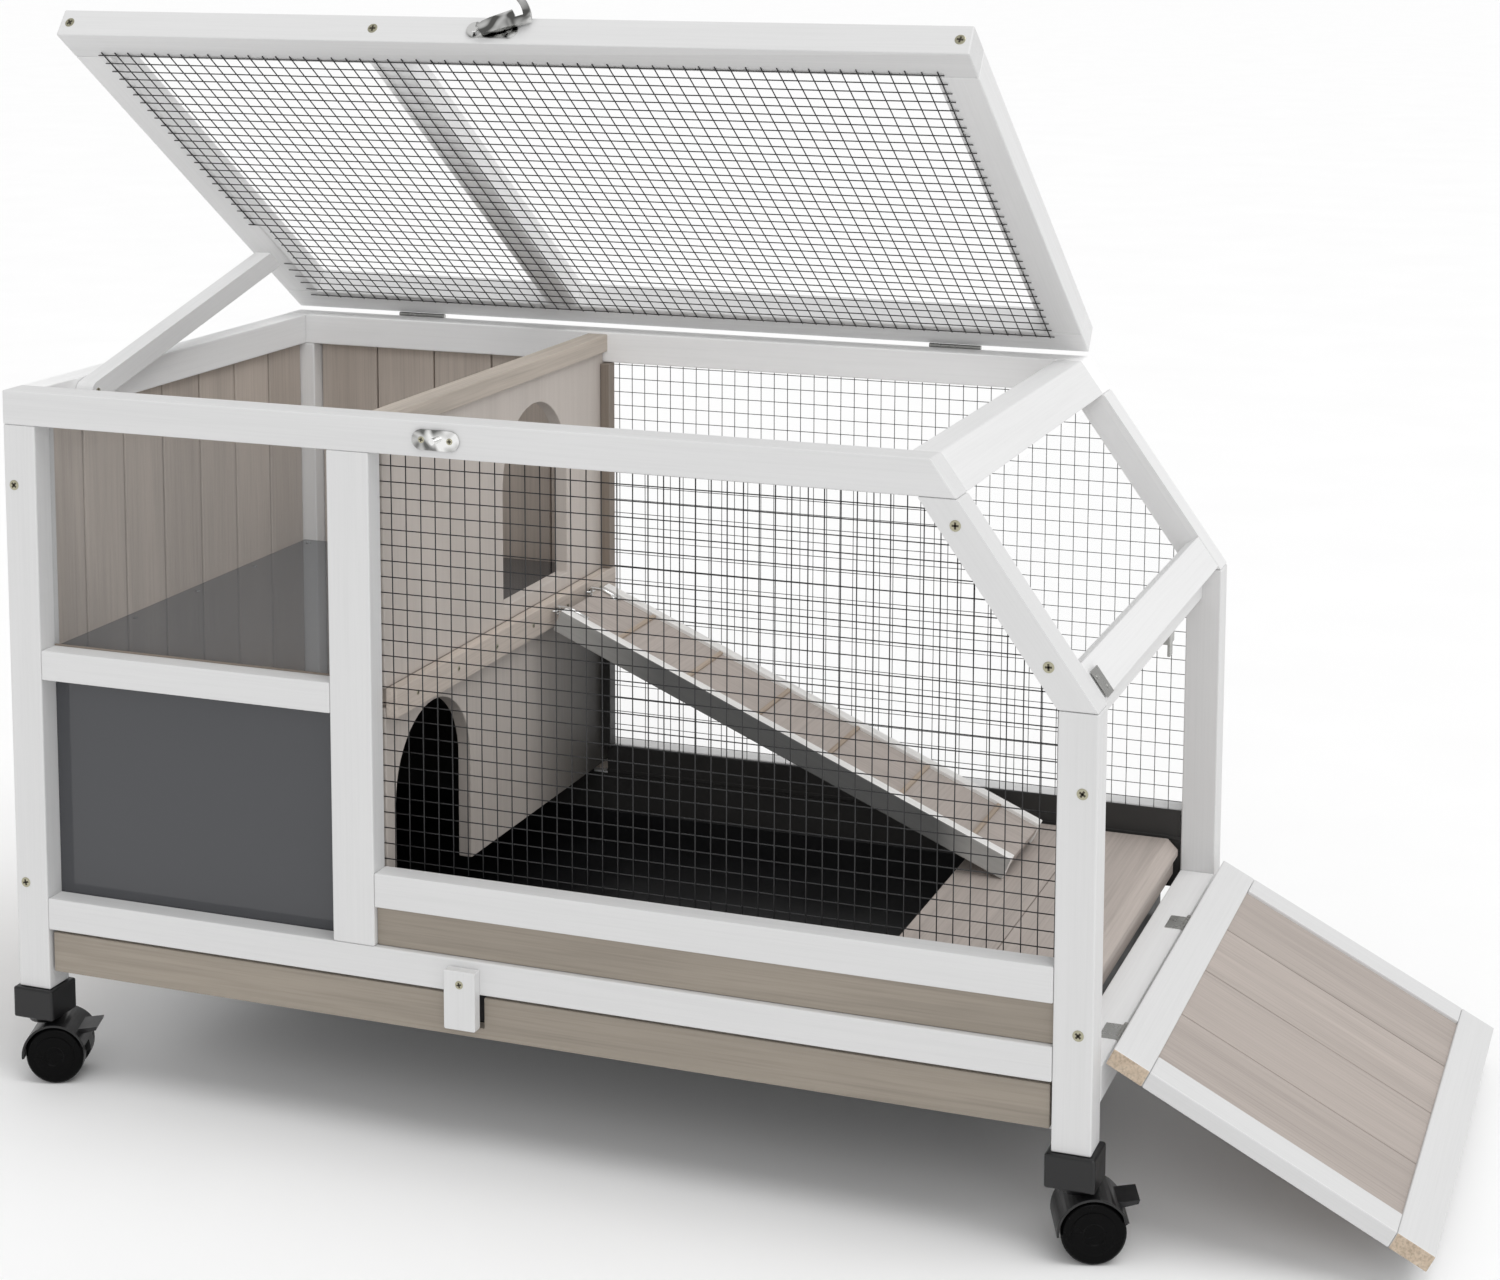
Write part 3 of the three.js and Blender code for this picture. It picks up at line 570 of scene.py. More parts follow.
def make_platform():
    """Two boards along Y over a riser; the outer board's right edge is chamfered."""
    low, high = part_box("platform")
    top_t, chamfer, gap = 15 * MM, 9 * MM, 0.3 * MM
    seam = low.x + 80 * MM
    riser = (high.x - 14 * MM, high.x - 4 * MM)
    under = high.z - top_t
    bm = bmesh.new()
    profile = [(seam + gap, under), (high.x, under), (high.x, high.z - chamfer),
               (high.x - chamfer, high.z), (seam + gap, high.z)]
    near = [bm.verts.new((x, low.y, z)) for x, z in profile]
    far = [bm.verts.new((x, high.y, z)) for x, z in profile]
    bm.faces.new(near)
    bm.faces.new(list(reversed(far)))
    for i in range(len(profile)):
        n = (i + 1) % len(profile)
        bm.faces.new((near[i], far[i], far[n], near[n]))
    use_material(bm.faces, 1)
    add_box(bm, (low.x, low.y, under), (seam - gap, high.y, high.z))
    add_box(bm, (riser[0], low.y, low.z), (riser[1], high.y, under))
    tones = [stain(f"stain_platform_{i}", Y, 160 + 5 * i, PALE_TONE, 0.08) for i in range(2)]
    obj = finish_mesh("platform_boards", bm, tones[0], HUTCH, bevel=1.0 * MM)
    obj.data.materials.append(tones[1])
    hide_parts("platform")


# ------------------------------------------------------------------ welded wire panels
def outline_of(node, matrix, u, v):
    """Corners of a flat convex panel, in order, as (u, v) pairs in a group's own axes."""
    inverse = matrix.inverted()
    points = {tuple(round((inverse @ p.co)[i], 5) for i in (u, v))
              for p in NODES[node].data.vertices}
    centre = (sum(p[0] for p in points) / len(points), sum(p[1] for p in points) / len(points))
    return sorted(points, key=lambda p: math.atan2(p[1] - centre[1], p[0] - centre[0]))


def span_at(outline, axis, value):
    """Where a line across a convex outline enters and leaves it."""
    hits = []
    for a, b in zip(outline, outline[1:] + outline[:1]):
        if (a[axis] - value) * (b[axis] - value) < 0:
            t = (value - a[axis]) / (b[axis] - a[axis])
            hits.append(a[1 - axis] + t * (b[1 - axis] - a[1 - axis]))
    return (min(hits), max(hits)) if len(hits) > 1 else None


def wire_panel(name, node, body, outline, place, depths, sway, trim=None, radius=WIRE_R):
    """A welded grid. `place(u, v, depth)` gives a point; `depths` are the two wire layers.

    `sway` is how far a wire wanders, and `trim(axis, at, span)` may cut one short.
    """
    pieces = 6
    rng = random.Random(name)
    bm = bmesh.new()
    for axis in (0, 1):
        values = [p[axis] for p in outline]
        first, last = min(values), max(values)
        count = int((last - first) / PITCH)
        start = first + (last - first - count * PITCH) / 2
        for i in range(count + 1):
            at = start + i * PITCH
            if not first + WIRE_R < at < last - WIRE_R:
                continue
            span = span_at(outline, axis, at)
            if span is None:
                continue
            if trim:
                span = trim(axis, at, span)
            overhang = rng.uniform(-1.2, 1.2) * MM
            low, high = span[0] + abs(overhang), span[1] - abs(overhang) / 2
            phase = rng.uniform(0, 6.28)
            lean = rng.uniform(-sway, sway)
            points = []
            for k in range(pieces + 1):
                t = low + (high - low) * k / pieces
                off = lean * math.sin(phase + 5 * k / pieces) + rng.uniform(-sway, sway) * 0.25
                uv = (at + off, t) if axis == 0 else (t, at + off)
                points.append(place(*uv, depths[axis]))
            add_tube(bm, points, radius)
    obj = finish_mesh(name, bm, WIRE, body, smooth=True)
    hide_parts(node)


def make_wire_panels():
    """Front and rear panels of the run, and the lid's, which is trimmed round the prop."""
    for name, node, radius in (("front_wire", "mesh_front", WIRE_R),
                               ("rear_wire", "mesh_rear", REAR_WIRE_R)):
        low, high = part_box(node)
        middle = (low.y + high.y) / 2
        step = 0.9 * MM if name == "front_wire" else -0.9 * MM
        wire_panel(name, node, HUTCH, outline_of(node, STILL, 0, 2),
                   lambda u, v, depth: Vector((u, depth, v)), (middle, middle + step), 0.25 * MM,
                   radius=radius)
    low, high = local_box("lid_mesh", LID)
    rail_low, _ = local_box("lid_rail_left", LID)
    lap = 9 * MM
    outline = [(low.x - lap, low.y - lap), (high.x + lap, low.y - lap),
               (high.x + lap, high.y + lap), (low.x - lap, high.y + lap)]
    _, prop_high = local_box("lid_prop", LID)
    clear_x = prop_high.x + 2 * MM

    def keep_off_prop(axis, at, span):
        """The panel is trimmed round the place where the prop bears on the lid."""
        if axis == 1 and abs(at - prop_high.y + 12 * MM) < 34 * MM:
            return (max(span[0], clear_x), span[1])
        if axis == 0 and at < clear_x:
            return (span[0], prop_high.y - 50 * MM)
        return span

    under = rail_low.z - WIRE_R * 0.9
    wire_panel("lid_wire", "lid_mesh", "lid", outline,
               lambda u, v, depth: LID @ Vector((u, v, depth)), (under, under - 0.85 * MM),
               0.45 * MM, keep_off_prop)


def make_staples():
    """Wire staples that hold the lid's panel to the underside of its rails."""
    low, high = local_box("lid_mesh", LID)
    rail_low, _ = local_box("lid_rail_front", LID)
    z = rail_low.z
    rng = random.Random("staples")
    bm = bmesh.new()

    def staple(x, y, turned):
        half = 3 * MM
        reach = Vector((half, 0, 0)) if turned else Vector((0, half, 0))
        centre = Vector((x, y, 0))
        crown = z - 1.35 * MM
        points = [centre - reach + Vector((0, 0, z)), centre - reach + Vector((0, 0, crown)),
                  centre + reach + Vector((0, 0, crown)), centre + reach + Vector((0, 0, z))]
        add_tube(bm, [LID @ p for p in points], 0.35 * MM, 5)

    step = 76 * MM
    for i in range(1, int((high.x - low.x) / step) + 1):
        x = low.x + i * step + rng.uniform(-6, 6) * MM
        staple(x, low.y - 5 * MM, True)
        staple(x, high.y + 5 * MM, True)
    for i in range(1, int((high.y - low.y) / step) + 1):
        y = low.y + i * step + rng.uniform(-6, 6) * MM
        staple(high.x + 5 * MM, y, False)
    finish_mesh("lid_staples", bm, STEEL, "lid", smooth=True)


# ------------------------------------------------------------------ panes and the floor sheet
def make_panes():
    """Three acrylic panes, and the thin dark bead at the upper one's foot."""
    low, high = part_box("pane_window_upper")
    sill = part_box("rail_window_front")[1].z
    bm = bmesh.new()
    add_box(bm, (low.x + 1 * MM, low.y - 2 * MM, sill),
            (high.x - 1 * MM, low.y - 0.2 * MM, sill + 1.4 * MM))
    finish_mesh("pane_bead", bm, stain("stain_bead", X, 311, BATTEN_TONE, 0.2), HUTCH,
                bevel=0.3 * MM)
    dress("pane_window_upper", acrylic("acrylic_upper", (0.27, 0.28, 0.29), 0.1))
    dress("pane_window_lower", acrylic("acrylic_lower", (0.066, 0.068, 0.074), 0.95))
    dress("pane_slope", acrylic("acrylic_slope", (0.8, 0.82, 0.84), 0.03))


def make_liner():
    """Black sheets above the tray: along the rear rails, and over the lower room's walls."""
    low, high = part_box("rail_lower_rear")
    run_low, run_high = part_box("rail_sill_rear")
    wall_low, wall_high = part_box("wall_left")
    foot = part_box("tray")[1].z - 9 * MM
    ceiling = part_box("upper_floor")[0].z - 1 * MM
    house_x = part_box("partition_lower")[0].x - 1 * MM
    face, back = low.y - 3.6 * MM, low.y - 2.6 * MM
    seam = high.z - 0.4 * MM
    left, right = low.x + 1 * MM, high.x - 1 * MM
    run_left = run_low.x + 1 * MM
    bm = bmesh.new()
    add_box(bm, (left, face, foot), (right, back, high.z - 0.5 * MM))
    add_box(bm, (run_left, face, seam), (right, back, run_high.z - 0.5 * MM))
    # A narrow lip over the seam of the two above.
    add_box(bm, (run_left, face - 1.2 * MM, high.z + 1 * MM),
            (right, face - 0.1 * MM, high.z + 4 * MM))
    add_box(bm, (left, face, seam), (house_x, back, ceiling))
    add_box(bm, (wall_high.x + 0.5 * MM, wall_low.y + 1 * MM, foot - 8 * MM),
            (wall_high.x + 1.5 * MM, wall_high.y - 1 * MM, ceiling))
    finish_mesh("black_lining", bm, MATTE_BLACK, HUTCH, bevel=0.3 * MM)


def make_floor_sheet():
    """A grey sheet on the upper floor, with a row of rivets along each end."""
    low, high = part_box("upper_floor")
    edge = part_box("partition_lower")[0].x - 0.6 * MM
    top = high.z + 0.8 * MM
    rivets, rivet_in, rivet_end = 5, 12 * MM, 14 * MM
    bm = bmesh.new()
    add_box(bm, (low.x + 1 * MM, low.y + 1 * MM, high.z), (edge, high.y - 1 * MM, top))
    rivet = [(2.6 * MM, -0.2 * MM), (2.2 * MM, 0.5 * MM), (0, 0.9 * MM)]
    for x in (low.x + rivet_in, edge - rivet_in):
        for i in range(rivets):
            y = low.y + rivet_end + (high.y - low.y - 2 * rivet_end) * i / (rivets - 1)
            add_turned(bm, rivet, Matrix.Translation((x, y, top)), 12)
    finish_mesh("upper_floor_sheet", bm, SHEET, HUTCH, bevel=0.3 * MM)


# ------------------------------------------------------------------ screws
class Screws:
    """Countersunk cross-head screws on one body, in one mesh."""

    def __init__(self, name, body):
        self.name, self.body, self.bm = name, body, bmesh.new()
        self.rng = random.Random(name)

    def add(self, point, normal, radius=4.2 * MM):
        place = facing(point, normal) @ Matrix.Rotation(self.rng.uniform(0, 1.5), 4, "Z")
        rim = 0.25 * MM
        profile = [(radius, -0.4 * MM), (radius, rim * 0.4), (radius * 0.86, rim),
                   (radius * 0.5, rim * 1.25), (0, rim * 1.3)]
        add_turned(self.bm, profile, place, 20)
        slot, width = radius * 0.62, radius * 0.19
        top = rim * 1.3
        for a, b in ((slot, width), (width, slot)):
            use_material(add_box(self.bm, (-a, -b, 0), (a, b, top + 0.06 * MM), place), 1)

    def finish(self):
        obj = finish_mesh(self.name, self.bm, BRASS, self.body)
        obj.data.materials.append(RECESS)


def make_frame_screws():
    """Screws in the front and rear faces of the frame, the floor's edge strip and the keeper."""
    left_heights, right_heights = (90 * MM, 425 * MM), (90 * MM, 269 * MM)   # above a post's foot
    slanted_places = (0.13, 0.79)                       # from a slanted post's top to its foot
    fixed = Screws("frame_screws", HUTCH)
    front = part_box("rail_top_front")[0].y
    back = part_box("rail_top_rear")[1].y
    for side, face_y, outward in (("front", front, -Y), ("rear", back, Y)):
        low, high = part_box(f"post_{side}_left")
        for height in left_heights:
            fixed.add((low.x + 9 * MM, face_y, low.z + height), outward)
        low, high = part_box(f"post_{side}_right")
        for height in right_heights:
            fixed.add((high.x - 11 * MM, face_y, low.z + height), outward)
        low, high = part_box(f"post_{side}_slanted")
        top = Vector((low.x + POST_W / 2, face_y, high.z))
        foot = Vector((high.x - POST_W / 2, face_y, low.z))
        for t in slanted_places:
            fixed.add(top.lerp(foot, t), outward)
    low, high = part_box("floor_edge")
    count = 6
    for i in range(count):
        y = low.y + (high.y - low.y) * (i + 0.5) / count
        fixed.add((high.x, y, (low.z + high.z) / 2), X, 2.2 * MM)
    low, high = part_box("latch_keeper")
    centre = (low + high) / 2
    for sign in (-1, 1):
        fixed.add((centre.x + sign * 12 * MM, high.y - 1.8 * MM, centre.z), -Y, 2.6 * MM)
    fixed.finish()


def make_lid_screws():
    """Three screws along the lid's front edge and three along its rear one."""
    lid = Screws("lid_screws", "lid")
    low, high = local_box("lid_rail_front", LID)
    bar_low, bar_high = local_box("lid_bar", LID)
    rear_y = local_box("lid_rail_rear", LID)[1].y
    for x in (low.x + 9 * MM, (bar_low.x + bar_high.x) / 2, high.x - 9 * MM):
        for y, normal in ((low.y, -Y), (rear_y, Y)):
            lid.add(LID @ Vector((x, y, (low.z + high.z) / 2)), in_group(LID, normal))
    lid.finish()


def make_pivot_screws():
    """The screw heads on the pivots of the turn button and the prop."""
    button = Screws("button_screw", "turn_button")
    pivot = Vector(JOINTS["button_turn"]["pos_m"])
    button.add((pivot.x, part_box("turn_button")[0].y, pivot.z), -Y, 3.4 * MM)
    button.finish()
    prop = Screws("prop_screw", "lid_prop")
    pivot = Vector(JOINTS["prop_fold"]["pos_m"])
    prop.add((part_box("lid_prop")[1].x, pivot.y, pivot.z), X, 3.4 * MM)
    prop.finish()


# ------------------------------------------------------------------ ramp door
def make_ramp():
    """White frame with bare end grain, round planks that run out from the hinge."""
    low, high = local_box("ramp_frame", RAMP)
    rail, gap = 30 * MM, 0.15 * MM
    along_z, along_y = in_group(RAMP, Z), in_group(RAMP, Y)
    inner_low, inner_high = low.z + rail + gap, high.z - rail - gap
    near, far = low.y + rail, high.y - rail
    pieces = (
        ("ramp_rail_hinge", low, (high.x, high.y, low.z + rail), along_y),
        ("ramp_rail_far", (low.x, low.y, high.z - rail), high, along_y),
        ("ramp_stile_near", (low.x, low.y, inner_low), (high.x, near, inner_high), along_z),
        ("ramp_stile_far", (low.x, far, inner_low), (high.x, high.y, inner_high), along_z),
    )
    for name, a, b, along in pieces:
        bm = bmesh.new()
        faces = add_box(bm, a, b, RAMP)
        if along is along_y:
            use_material([f for f in faces if abs(f.normal.dot(along_y)) > 0.9], 1)
        obj = finish_mesh(name, bm, paint("paint_" + name, along, len(name) * 5, RAMP_TONE), "ramp",
                          bevel=EDGE)
        obj.data.materials.append(END_GRAIN)
        if name == "ramp_rail_hinge":
            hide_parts("ramp_frame")
    boards("ramp_planks", "ramp_panel", RAMP, across=1, count=4, body="ramp", seed=211,
           tone=PALE_TONE)


# ------------------------------------------------------------------ ladder
def make_ladder():
    """Pale side rails, a stained deck in the rebate between them and cross strips on top."""
    low, high = local_box("ladder", LADDER)
    rail_w, rail_high, deck_low, deck_top = 12 * MM, 20 * MM, -3 * MM, 5 * MM
    strips, first, pitch, strip_w = 6, 60 * MM, 70.5 * MM, 4 * MM
    along, across = in_group(LADDER, X), in_group(LADDER, Y)
    bm = bmesh.new()
    for y in (low.y, high.y - rail_w):
        faces = add_box(bm, (low.x, y, low.z), (high.x, y + rail_w, low.z + rail_high), LADDER)
        if y == low.y:
            use_material([f for f in faces if f.normal.dot(across) < -0.9], 1)
    rails = finish_mesh("ladder_rails", bm, PALE_WOOD, "ladder", bevel=0.8 * MM)
    # The near rail's outer face: grey in the middle as painted shade, pale at the ends.
    span = [corner.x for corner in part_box("ladder")]
    stops = [(0.05, LADDER_PALE_TONE), (0.24, LADDER_SHADE_TONE), (0.84, LADDER_SHADE_TONE),
             (0.92, LADDER_PALE_TONE)]
    rails.data.materials.append(graded_wood("ladder_side_shade", "X", span, stops, along, 307))
    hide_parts("ladder")
    bm = bmesh.new()
    inner = (low.y + rail_w, high.y - rail_w)
    edges = [low.x] + [first + i * pitch for i in range(strips)] + [high.x]
    for i, (a, b) in enumerate(zip(edges, edges[1:])):
        faces = add_box(bm, (a + 0.2 * MM, inner[0], deck_low), (b - 0.2 * MM, inner[1], deck_top),
                        LADDER)
        use_material(faces, i % 2)
    deck = finish_mesh("ladder_deck", bm, stain("stain_ladder_a", along, 231, PALE_TONE, 0.06),
                       "ladder", bevel=0.5 * MM)
    deck.data.materials.append(stain("stain_ladder_b", across, 237, PALE_TONE, 0.06))
    bm = bmesh.new()
    for a in edges[1:-1]:
        add_box(bm, (a, inner[0] + 0.4 * MM, deck_top - 1 * MM),
                (a + strip_w, inner[1] - 0.4 * MM, deck_top + 2.4 * MM), LADDER)
    finish_mesh("ladder_strips", bm, STRIP_WOOD, "ladder", bevel=0.8 * MM)
    make_ladder_hooks(low, deck_top)


def make_ladder_hooks(low, deck_top):
    """Two hooks screwed to the ladder's top end, each curled round a staple on the pivot."""
    pivot = Vector(JOINTS["ladder_lift"]["pos_m"])
    ladder_low, ladder_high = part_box("ladder")
    strip_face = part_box("floor_edge")[1].x
    along, up = in_group(LADDER, X), in_group(LADDER, Z)
    radius, wire, leg = 3.2 * MM, 1.5 * MM, 5.2 * MM
    hooks, staples = bmesh.new(), bmesh.new()
    for y in (ladder_low.y + 17 * MM, ladder_high.y - 17 * MM):
        centre = Vector((pivot.x, y, pivot.z))
        curl = []
        for k in range(15):
            turn = math.radians(90 + 200 * k / 14)
            curl.append(centre + (along * math.cos(turn) + up * math.sin(turn)) * radius)
        rise = along * (low.x + 1 * MM) + up * (deck_top + wire * 0.9)
        shank = [centre + rise + along * 20 * MM, centre + rise]
        add_tube(hooks, shank + curl, wire, 10)
        pad = centre + along * (low.x + 15 * MM) + up * deck_top
        washer = [(4.6 * MM, 0), (4.2 * MM, 0.8 * MM), (0, 1.0 * MM)]
        add_turned(hooks, washer, facing(pad, up, Y), 18)
        back = Vector((strip_face - 4 * MM - pivot.x, 0, 0))
        ends = [centre - Y * leg, centre + Y * leg]
        add_tube(staples, [ends[0] + back, ends[0], ends[1], ends[1] + back], 1.0 * MM, 10)
    finish_mesh("ladder_hooks", hooks, HOOK_STEEL, "ladder", smooth=True)
    finish_mesh("ladder_staples", staples, HOOK_STEEL, HUTCH, smooth=True)


# ------------------------------------------------------------------ hinges, plates and catches
def leaf(bm, centre, along, out, length, width, t=0.9 * MM, head_t=0.7 * MM):
    """A flat hinge leaf: `along` the knuckle, `out` its outward normal, with two screw heads."""
    place = facing(centre, out, along)
    add_box(bm, (-width / 2, -length / 2, 0), (width / 2, length / 2, t), place)
    for end in (-1, 1):
        head = [(2.3 * MM, t), (2.0 * MM, t + head_t * 0.7), (0, t + head_t)]
        add_turned(bm, head, place @ Matrix.Translation((0, end * length * 0.3, 0)), 14)


def add_knuckles(fixed, moving, centre, along, length, radius):
    """Five knuckles on the hinge line, taken in turn by the fixed and the moving leaf."""
    count, gap = 5, 0.4 * MM
    for k in range(count):
        start = length * (k / count - 0.5)
        end = start + length / count - gap
        add_tube(moving if k % 2 else fixed, [centre + along * start, centre + along * end],
                 radius, 14)


def make_lid_hinges():
    """Two butt hinges at the back of the top rail; the lid's leaf tilts with the lid."""
    pivot = Vector(JOINTS["lid_hinge"]["pos_m"])
    rail_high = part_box("rail_top_rear")[1]
    lid_low, lid_high = local_box("lid_rail_rear", LID)
    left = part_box("rail_top_rear")[0].x
    fixed, moving = bmesh.new(), bmesh.new()
    length, width = 48 * MM, 11 * MM
    for x in (left + 132 * MM, left + 662 * MM):
        add_knuckles(fixed, moving, Vector((x, pivot.y, pivot.z)), X, length, 2.2 * MM)
        leaf(fixed, Vector((x, rail_high.y, rail_high.z - width / 2 - 1 * MM)), X, Y, length, width)
        spot = LID @ Vector((x - pivot.x, lid_high.y, lid_low.z + width / 2 + 1 * MM))
        leaf(moving, spot, X, in_group(LID, Y), length, width)
    finish_mesh("lid_hinge_fixed", fixed, STEEL, HUTCH)
    finish_mesh("lid_hinge_leaf", moving, STEEL, "lid")


def make_ramp_hinges():
    """Two steel hinges on top of the ramp's sill; the leaves fold together as the ramp shuts."""
    pivot = Vector(JOINTS["ramp_hinge"]["pos_m"])
    sill_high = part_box("sill_ramp")[1]
    low, high = local_box("ramp_frame", RAMP)
    fixed, moving = bmesh.new(), bmesh.new()
    length, width, flush = 28 * MM, 13 * MM, 0.12 * MM
    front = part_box("post_front_left")[0].y
    for y in (front + 93 * MM, front + 333 * MM):
        add_knuckles(fixed, moving, Vector((pivot.x, y, pivot.z)), Y, length, 2.0 * MM)
        leaf(fixed, Vector((sill_high.x - width / 2 - 1 * MM, y, sill_high.z)), Y, Z, length, width,
             0.7 * MM, flush)
        spot = RAMP @ Vector(((low.x + high.x) / 2, y - pivot.y, low.z))
        leaf(moving, spot, in_group(RAMP, Y), in_group(RAMP, -Z), length, 11 * MM, 0.5 * MM,
             flush)
    finish_mesh("ramp_hinge_fixed", fixed, STEEL, HUTCH)
    finish_mesh("ramp_hinge_leaf", moving, STEEL, "ramp")


def make_hook_plate():
    """The plate with round ends behind the lid's hook, on the lid's front face."""
    low, high = local_box("lid_rail_front", LID)
    half, plate_t = 15 * MM, 1.4 * MM
    spot = LID @ Vector((4 * MM, low.y, (low.z + high.z) / 2))
    place = facing(spot, in_group(LID, -Y), in_group(LID, Z))
    bm = bmesh.new()
    add_box(bm, (-half, -7 * MM, 0), (half, 7 * MM, plate_t), place)
    round_end = [(7 * MM, 0), (7 * MM, plate_t), (0, plate_t)]
    head = [(2.6 * MM, plate_t), (2.2 * MM, 2.0 * MM), (0, 2.3 * MM)]
    for side in (-1, 1):
        end = place @ Matrix.Translation((side * half, 0, 0))
        add_turned(bm, round_end, end, 24)
        add_turned(bm, head, end, 16)
    finish_mesh("hook_plate", bm, CHROME_PAINTED_REFLECTIONS, "lid")


def make_knee_plate():
    """A small plate with two rivets, on the sloping end just above the front right post."""
    rail_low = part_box("rail_slope_lower")[0]
    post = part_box("post_front_right")[1]
    knee = Vector((post.x + OUT_SLOPE.x * 0.1 * MM, rail_low.y + 11 * MM, post.z + 3 * MM))
    plate = facing(knee + UP_SLOPE * 13 * MM, OUT_SLOPE, UP_SLOPE)
    bm = bmesh.new()
    add_box(bm, (-9 * MM, -11 * MM, 0), (9 * MM, 11 * MM, 1.0 * MM), plate)
    rivet = [(2.2 * MM, 1.0 * MM), (1.9 * MM, 1.5 * MM), (0, 1.7 * MM)]
    for x, y in ((-4 * MM, 5 * MM), (4 * MM, -5 * MM)):
        add_turned(bm, rivet, plate @ Matrix.Translation((x, y, 0)), 14)
    finish_mesh("knee_plate", bm, STEEL, HUTCH)


def make_ramp_catch():
    """The small catch under the knee rail that would hold the ramp shut."""
    low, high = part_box("rail_knee")
    x, z = high.x - 1 * MM, low.z
    y = low.y + 0.72 * (high.y - low.y)
    bm = bmesh.new()
    add_box(bm, (x - 8 * MM, y - 9 * MM, z - 9 * MM), (x, y + 9 * MM, z))
    add_box(bm, (x - 3 * MM, y - 5 * MM, z - 20 * MM), (x - 0.5 * MM, y + 5 * MM, z - 9 * MM))
    finish_mesh("ramp_catch", bm, STEEL, HUTCH, bevel=0.6 * MM)


# ------------------------------------------------------------------ casters
def make_casters():
    """Black plastic on each caster, with a hub disc on either wheel and a collar."""
    hub = [(16.5 * MM, -0.4 * MM), (16.5 * MM, 0.5 * MM), (14.5 * MM, 0.9 * MM),
           (8.5 * MM, 0.9 * MM), (7.5 * MM, 0.3 * MM), (0, 0.3 * MM)]
    for corner in CORNERS:
        dress("caster_socket_" + corner, CASTER_BLACK, 2.0 * MM, 3)
        dress("caster_hood_" + corner, CASTER_BLACK, 0.5 * MM)
        dress("caster_wheels_" + corner, WHEEL_BLACK, 0.7 * MM)
        joint = JOINTS["roll_" + corner]
        axle, centre = Vector(joint["axis"]), Vector(joint["pos_m"])
        bm = bmesh.new()
        for side in (-1, 1):
            outward = axle * side
            add_turned(bm, hub, facing(centre + outward * 22 * MM, outward), 40)
        finish_mesh("wheel_hubs_" + corner, bm, WHEEL_BLACK, "wheels_" + corner)
        make_collar(corner)


def make_collar(corner):
    """The collar between a caster's hood and its socket."""
    pivot = Vector(JOINTS["swivel_" + corner]["pos_m"])
    bm = bmesh.new()
    collar = [(9.5 * MM, -3 * MM), (11 * MM, -2 * MM), (11 * MM, -0.6 * MM), (0, -0.6 * MM)]
    add_turned(bm, collar, Matrix.Translation(pivot), 28)
    finish_mesh("caster_collar_" + corner, bm, CASTER_BLACK, "caster_" + corner)


# ------------------------------------------------------------------ tray and lid fittings
def dress_the_rest():
    dress("latch_keeper", CHROME_PAINTED_REFLECTIONS, 0.4 * MM)
    dress("lid_hook", CHROME_PAINTED_REFLECTIONS, 0.7 * MM)
    dress("tray", TRAY_BLACK, 0.8 * MM)


dress_timber()
make_boards()
make_wire_panels()
make_staples()
make_panes()
make_floor_sheet()
make_liner()
make_frame_screws()
make_lid_screws()
make_pivot_screws()
make_ramp()
make_ladder()
make_lid_hinges()
make_ramp_hinges()
make_hook_plate()
make_knee_plate()
make_ramp_catch()
make_casters()
dress_the_rest()


# ------------------------------------------------------------------ floor, light and camera
def make_stage():
    """The wide pale ground, a hair below the wheels."""
    mesh = bpy.data.meshes.new("floor")
    bm = bmesh.new()
    bmesh.ops.create_grid(bm, x_segments=1, y_segments=1, size=60)
    bm.to_mesh(mesh)
    bm.free()
    material, nodes, links, bsdf = shader("floor_paint", (0.94, 0.94, 0.94), 0.85)
    cloud = mapped_noise(nodes, links, X, 4, 4, 900, detail=2)
    tint = ramp(nodes, links, cloud.outputs["Fac"],
                [(0.3, (0.935, 0.935, 0.935)), (0.7, (0.95, 0.95, 0.95))])
    links.new(tint.outputs["Color"], bsdf.inputs["Base Color"])
    mesh.materials.append(material)
    floor = bpy.data.objects.new("floor", mesh)
    floor.location = (0, 0, cad_low.z - 0.0002)
    bpy.context.scene.collection.objects.link(floor)


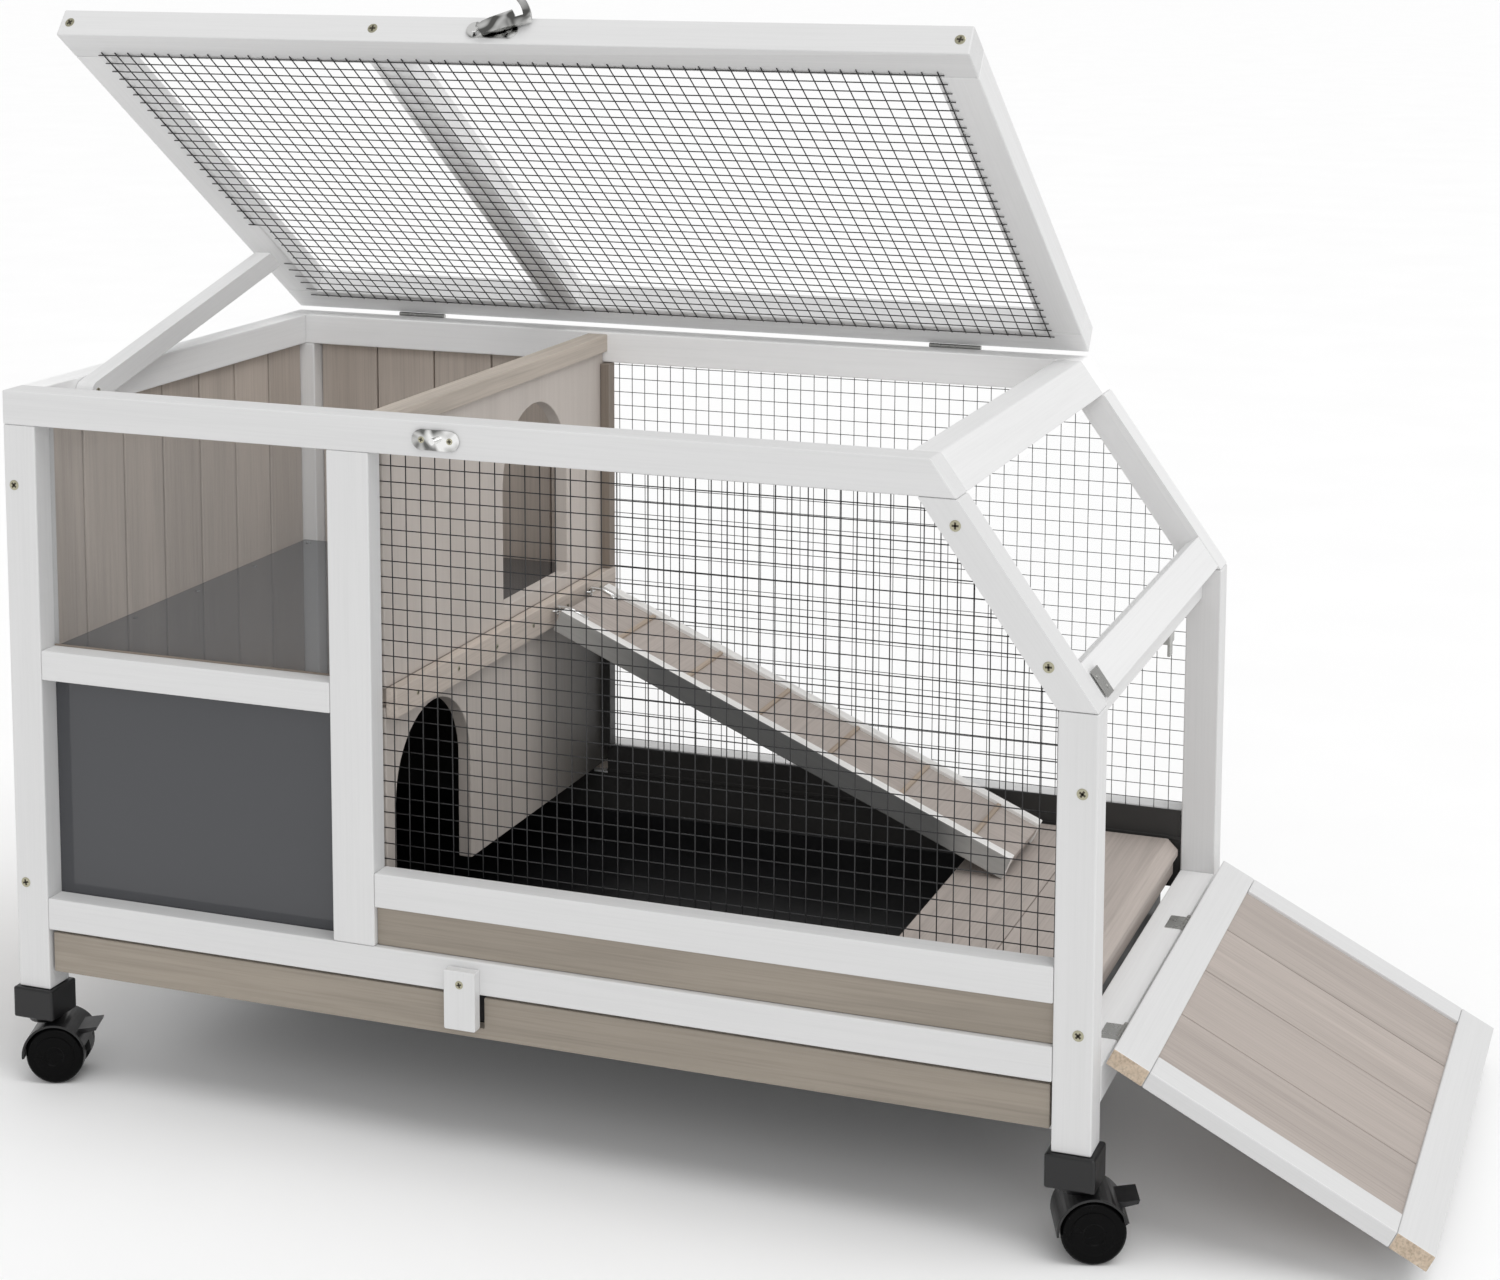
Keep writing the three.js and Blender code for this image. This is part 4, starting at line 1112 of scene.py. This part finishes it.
def make_light():
    """An even white studio with a broad soft light above and a weaker one in front."""
    scene = bpy.context.scene
    world = bpy.data.worlds.new("studio")
    scene.world = world
    world.use_nodes = True
    background = world.node_tree.nodes["Background"]
    background.inputs["Color"].default_value = (1, 1, 1, 1)
    background.inputs["Strength"].default_value = 0.64
    for name, strength, spread, aim in (("overhead", 1.25, 45, (-0.42, 0.06, -0.9)),
                                        ("front", 0.5, 40, (-0.35, 0.82, -0.45))):
        data = bpy.data.lights.new(name, "SUN")
        data.energy = strength
        data.angle = math.radians(spread)
        light = bpy.data.objects.new(name, data)
        light.rotation_mode = "QUATERNION"
        light.rotation_quaternion = Vector(aim).to_track_quat("-Z", "Y")
        bpy.context.scene.collection.objects.link(light)
    scene.view_settings.view_transform = "Standard"


# The camera: metres from the post's foot; degrees; millimetres.
CAMERA = {"place": (1.3333, -1.8758, 0.8937), "azimuth": 20.53, "pitch": 7.0, "roll": 0.12,
          "lens": 66.68, "shift": (0.0133, -0.2616)}


def make_camera():
    """Placed from the foot of the front left post, at the angle the object is seen from."""
    foot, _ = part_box("post_front_left")
    data = bpy.data.cameras.new("camera")
    camera = bpy.data.objects.new("camera", data)
    bpy.context.scene.collection.objects.link(camera)
    bpy.context.scene.camera = camera
    camera.location = Vector((foot.x, foot.y, foot.z)) + Vector(CAMERA["place"])
    azimuth, pitch, roll = (math.radians(CAMERA[k]) for k in ("azimuth", "pitch", "roll"))
    look = Vector((-math.sin(azimuth) * math.cos(pitch), math.cos(azimuth) * math.cos(pitch),
                   -math.sin(pitch)))
    camera.rotation_mode = "QUATERNION"
    upright = look.to_track_quat("-Z", "Y").to_matrix().to_4x4()
    camera.rotation_quaternion = (upright @ Matrix.Rotation(roll, 4, "Z")).to_quaternion()
    data.sensor_fit = "HORIZONTAL"
    data.sensor_width = 36
    data.lens = CAMERA["lens"]
    data.shift_x, data.shift_y = CAMERA["shift"]
    data.clip_start, data.clip_end = 0.05, 50


make_stage()
make_light()
make_camera()

bpy.context.view_layer.update()
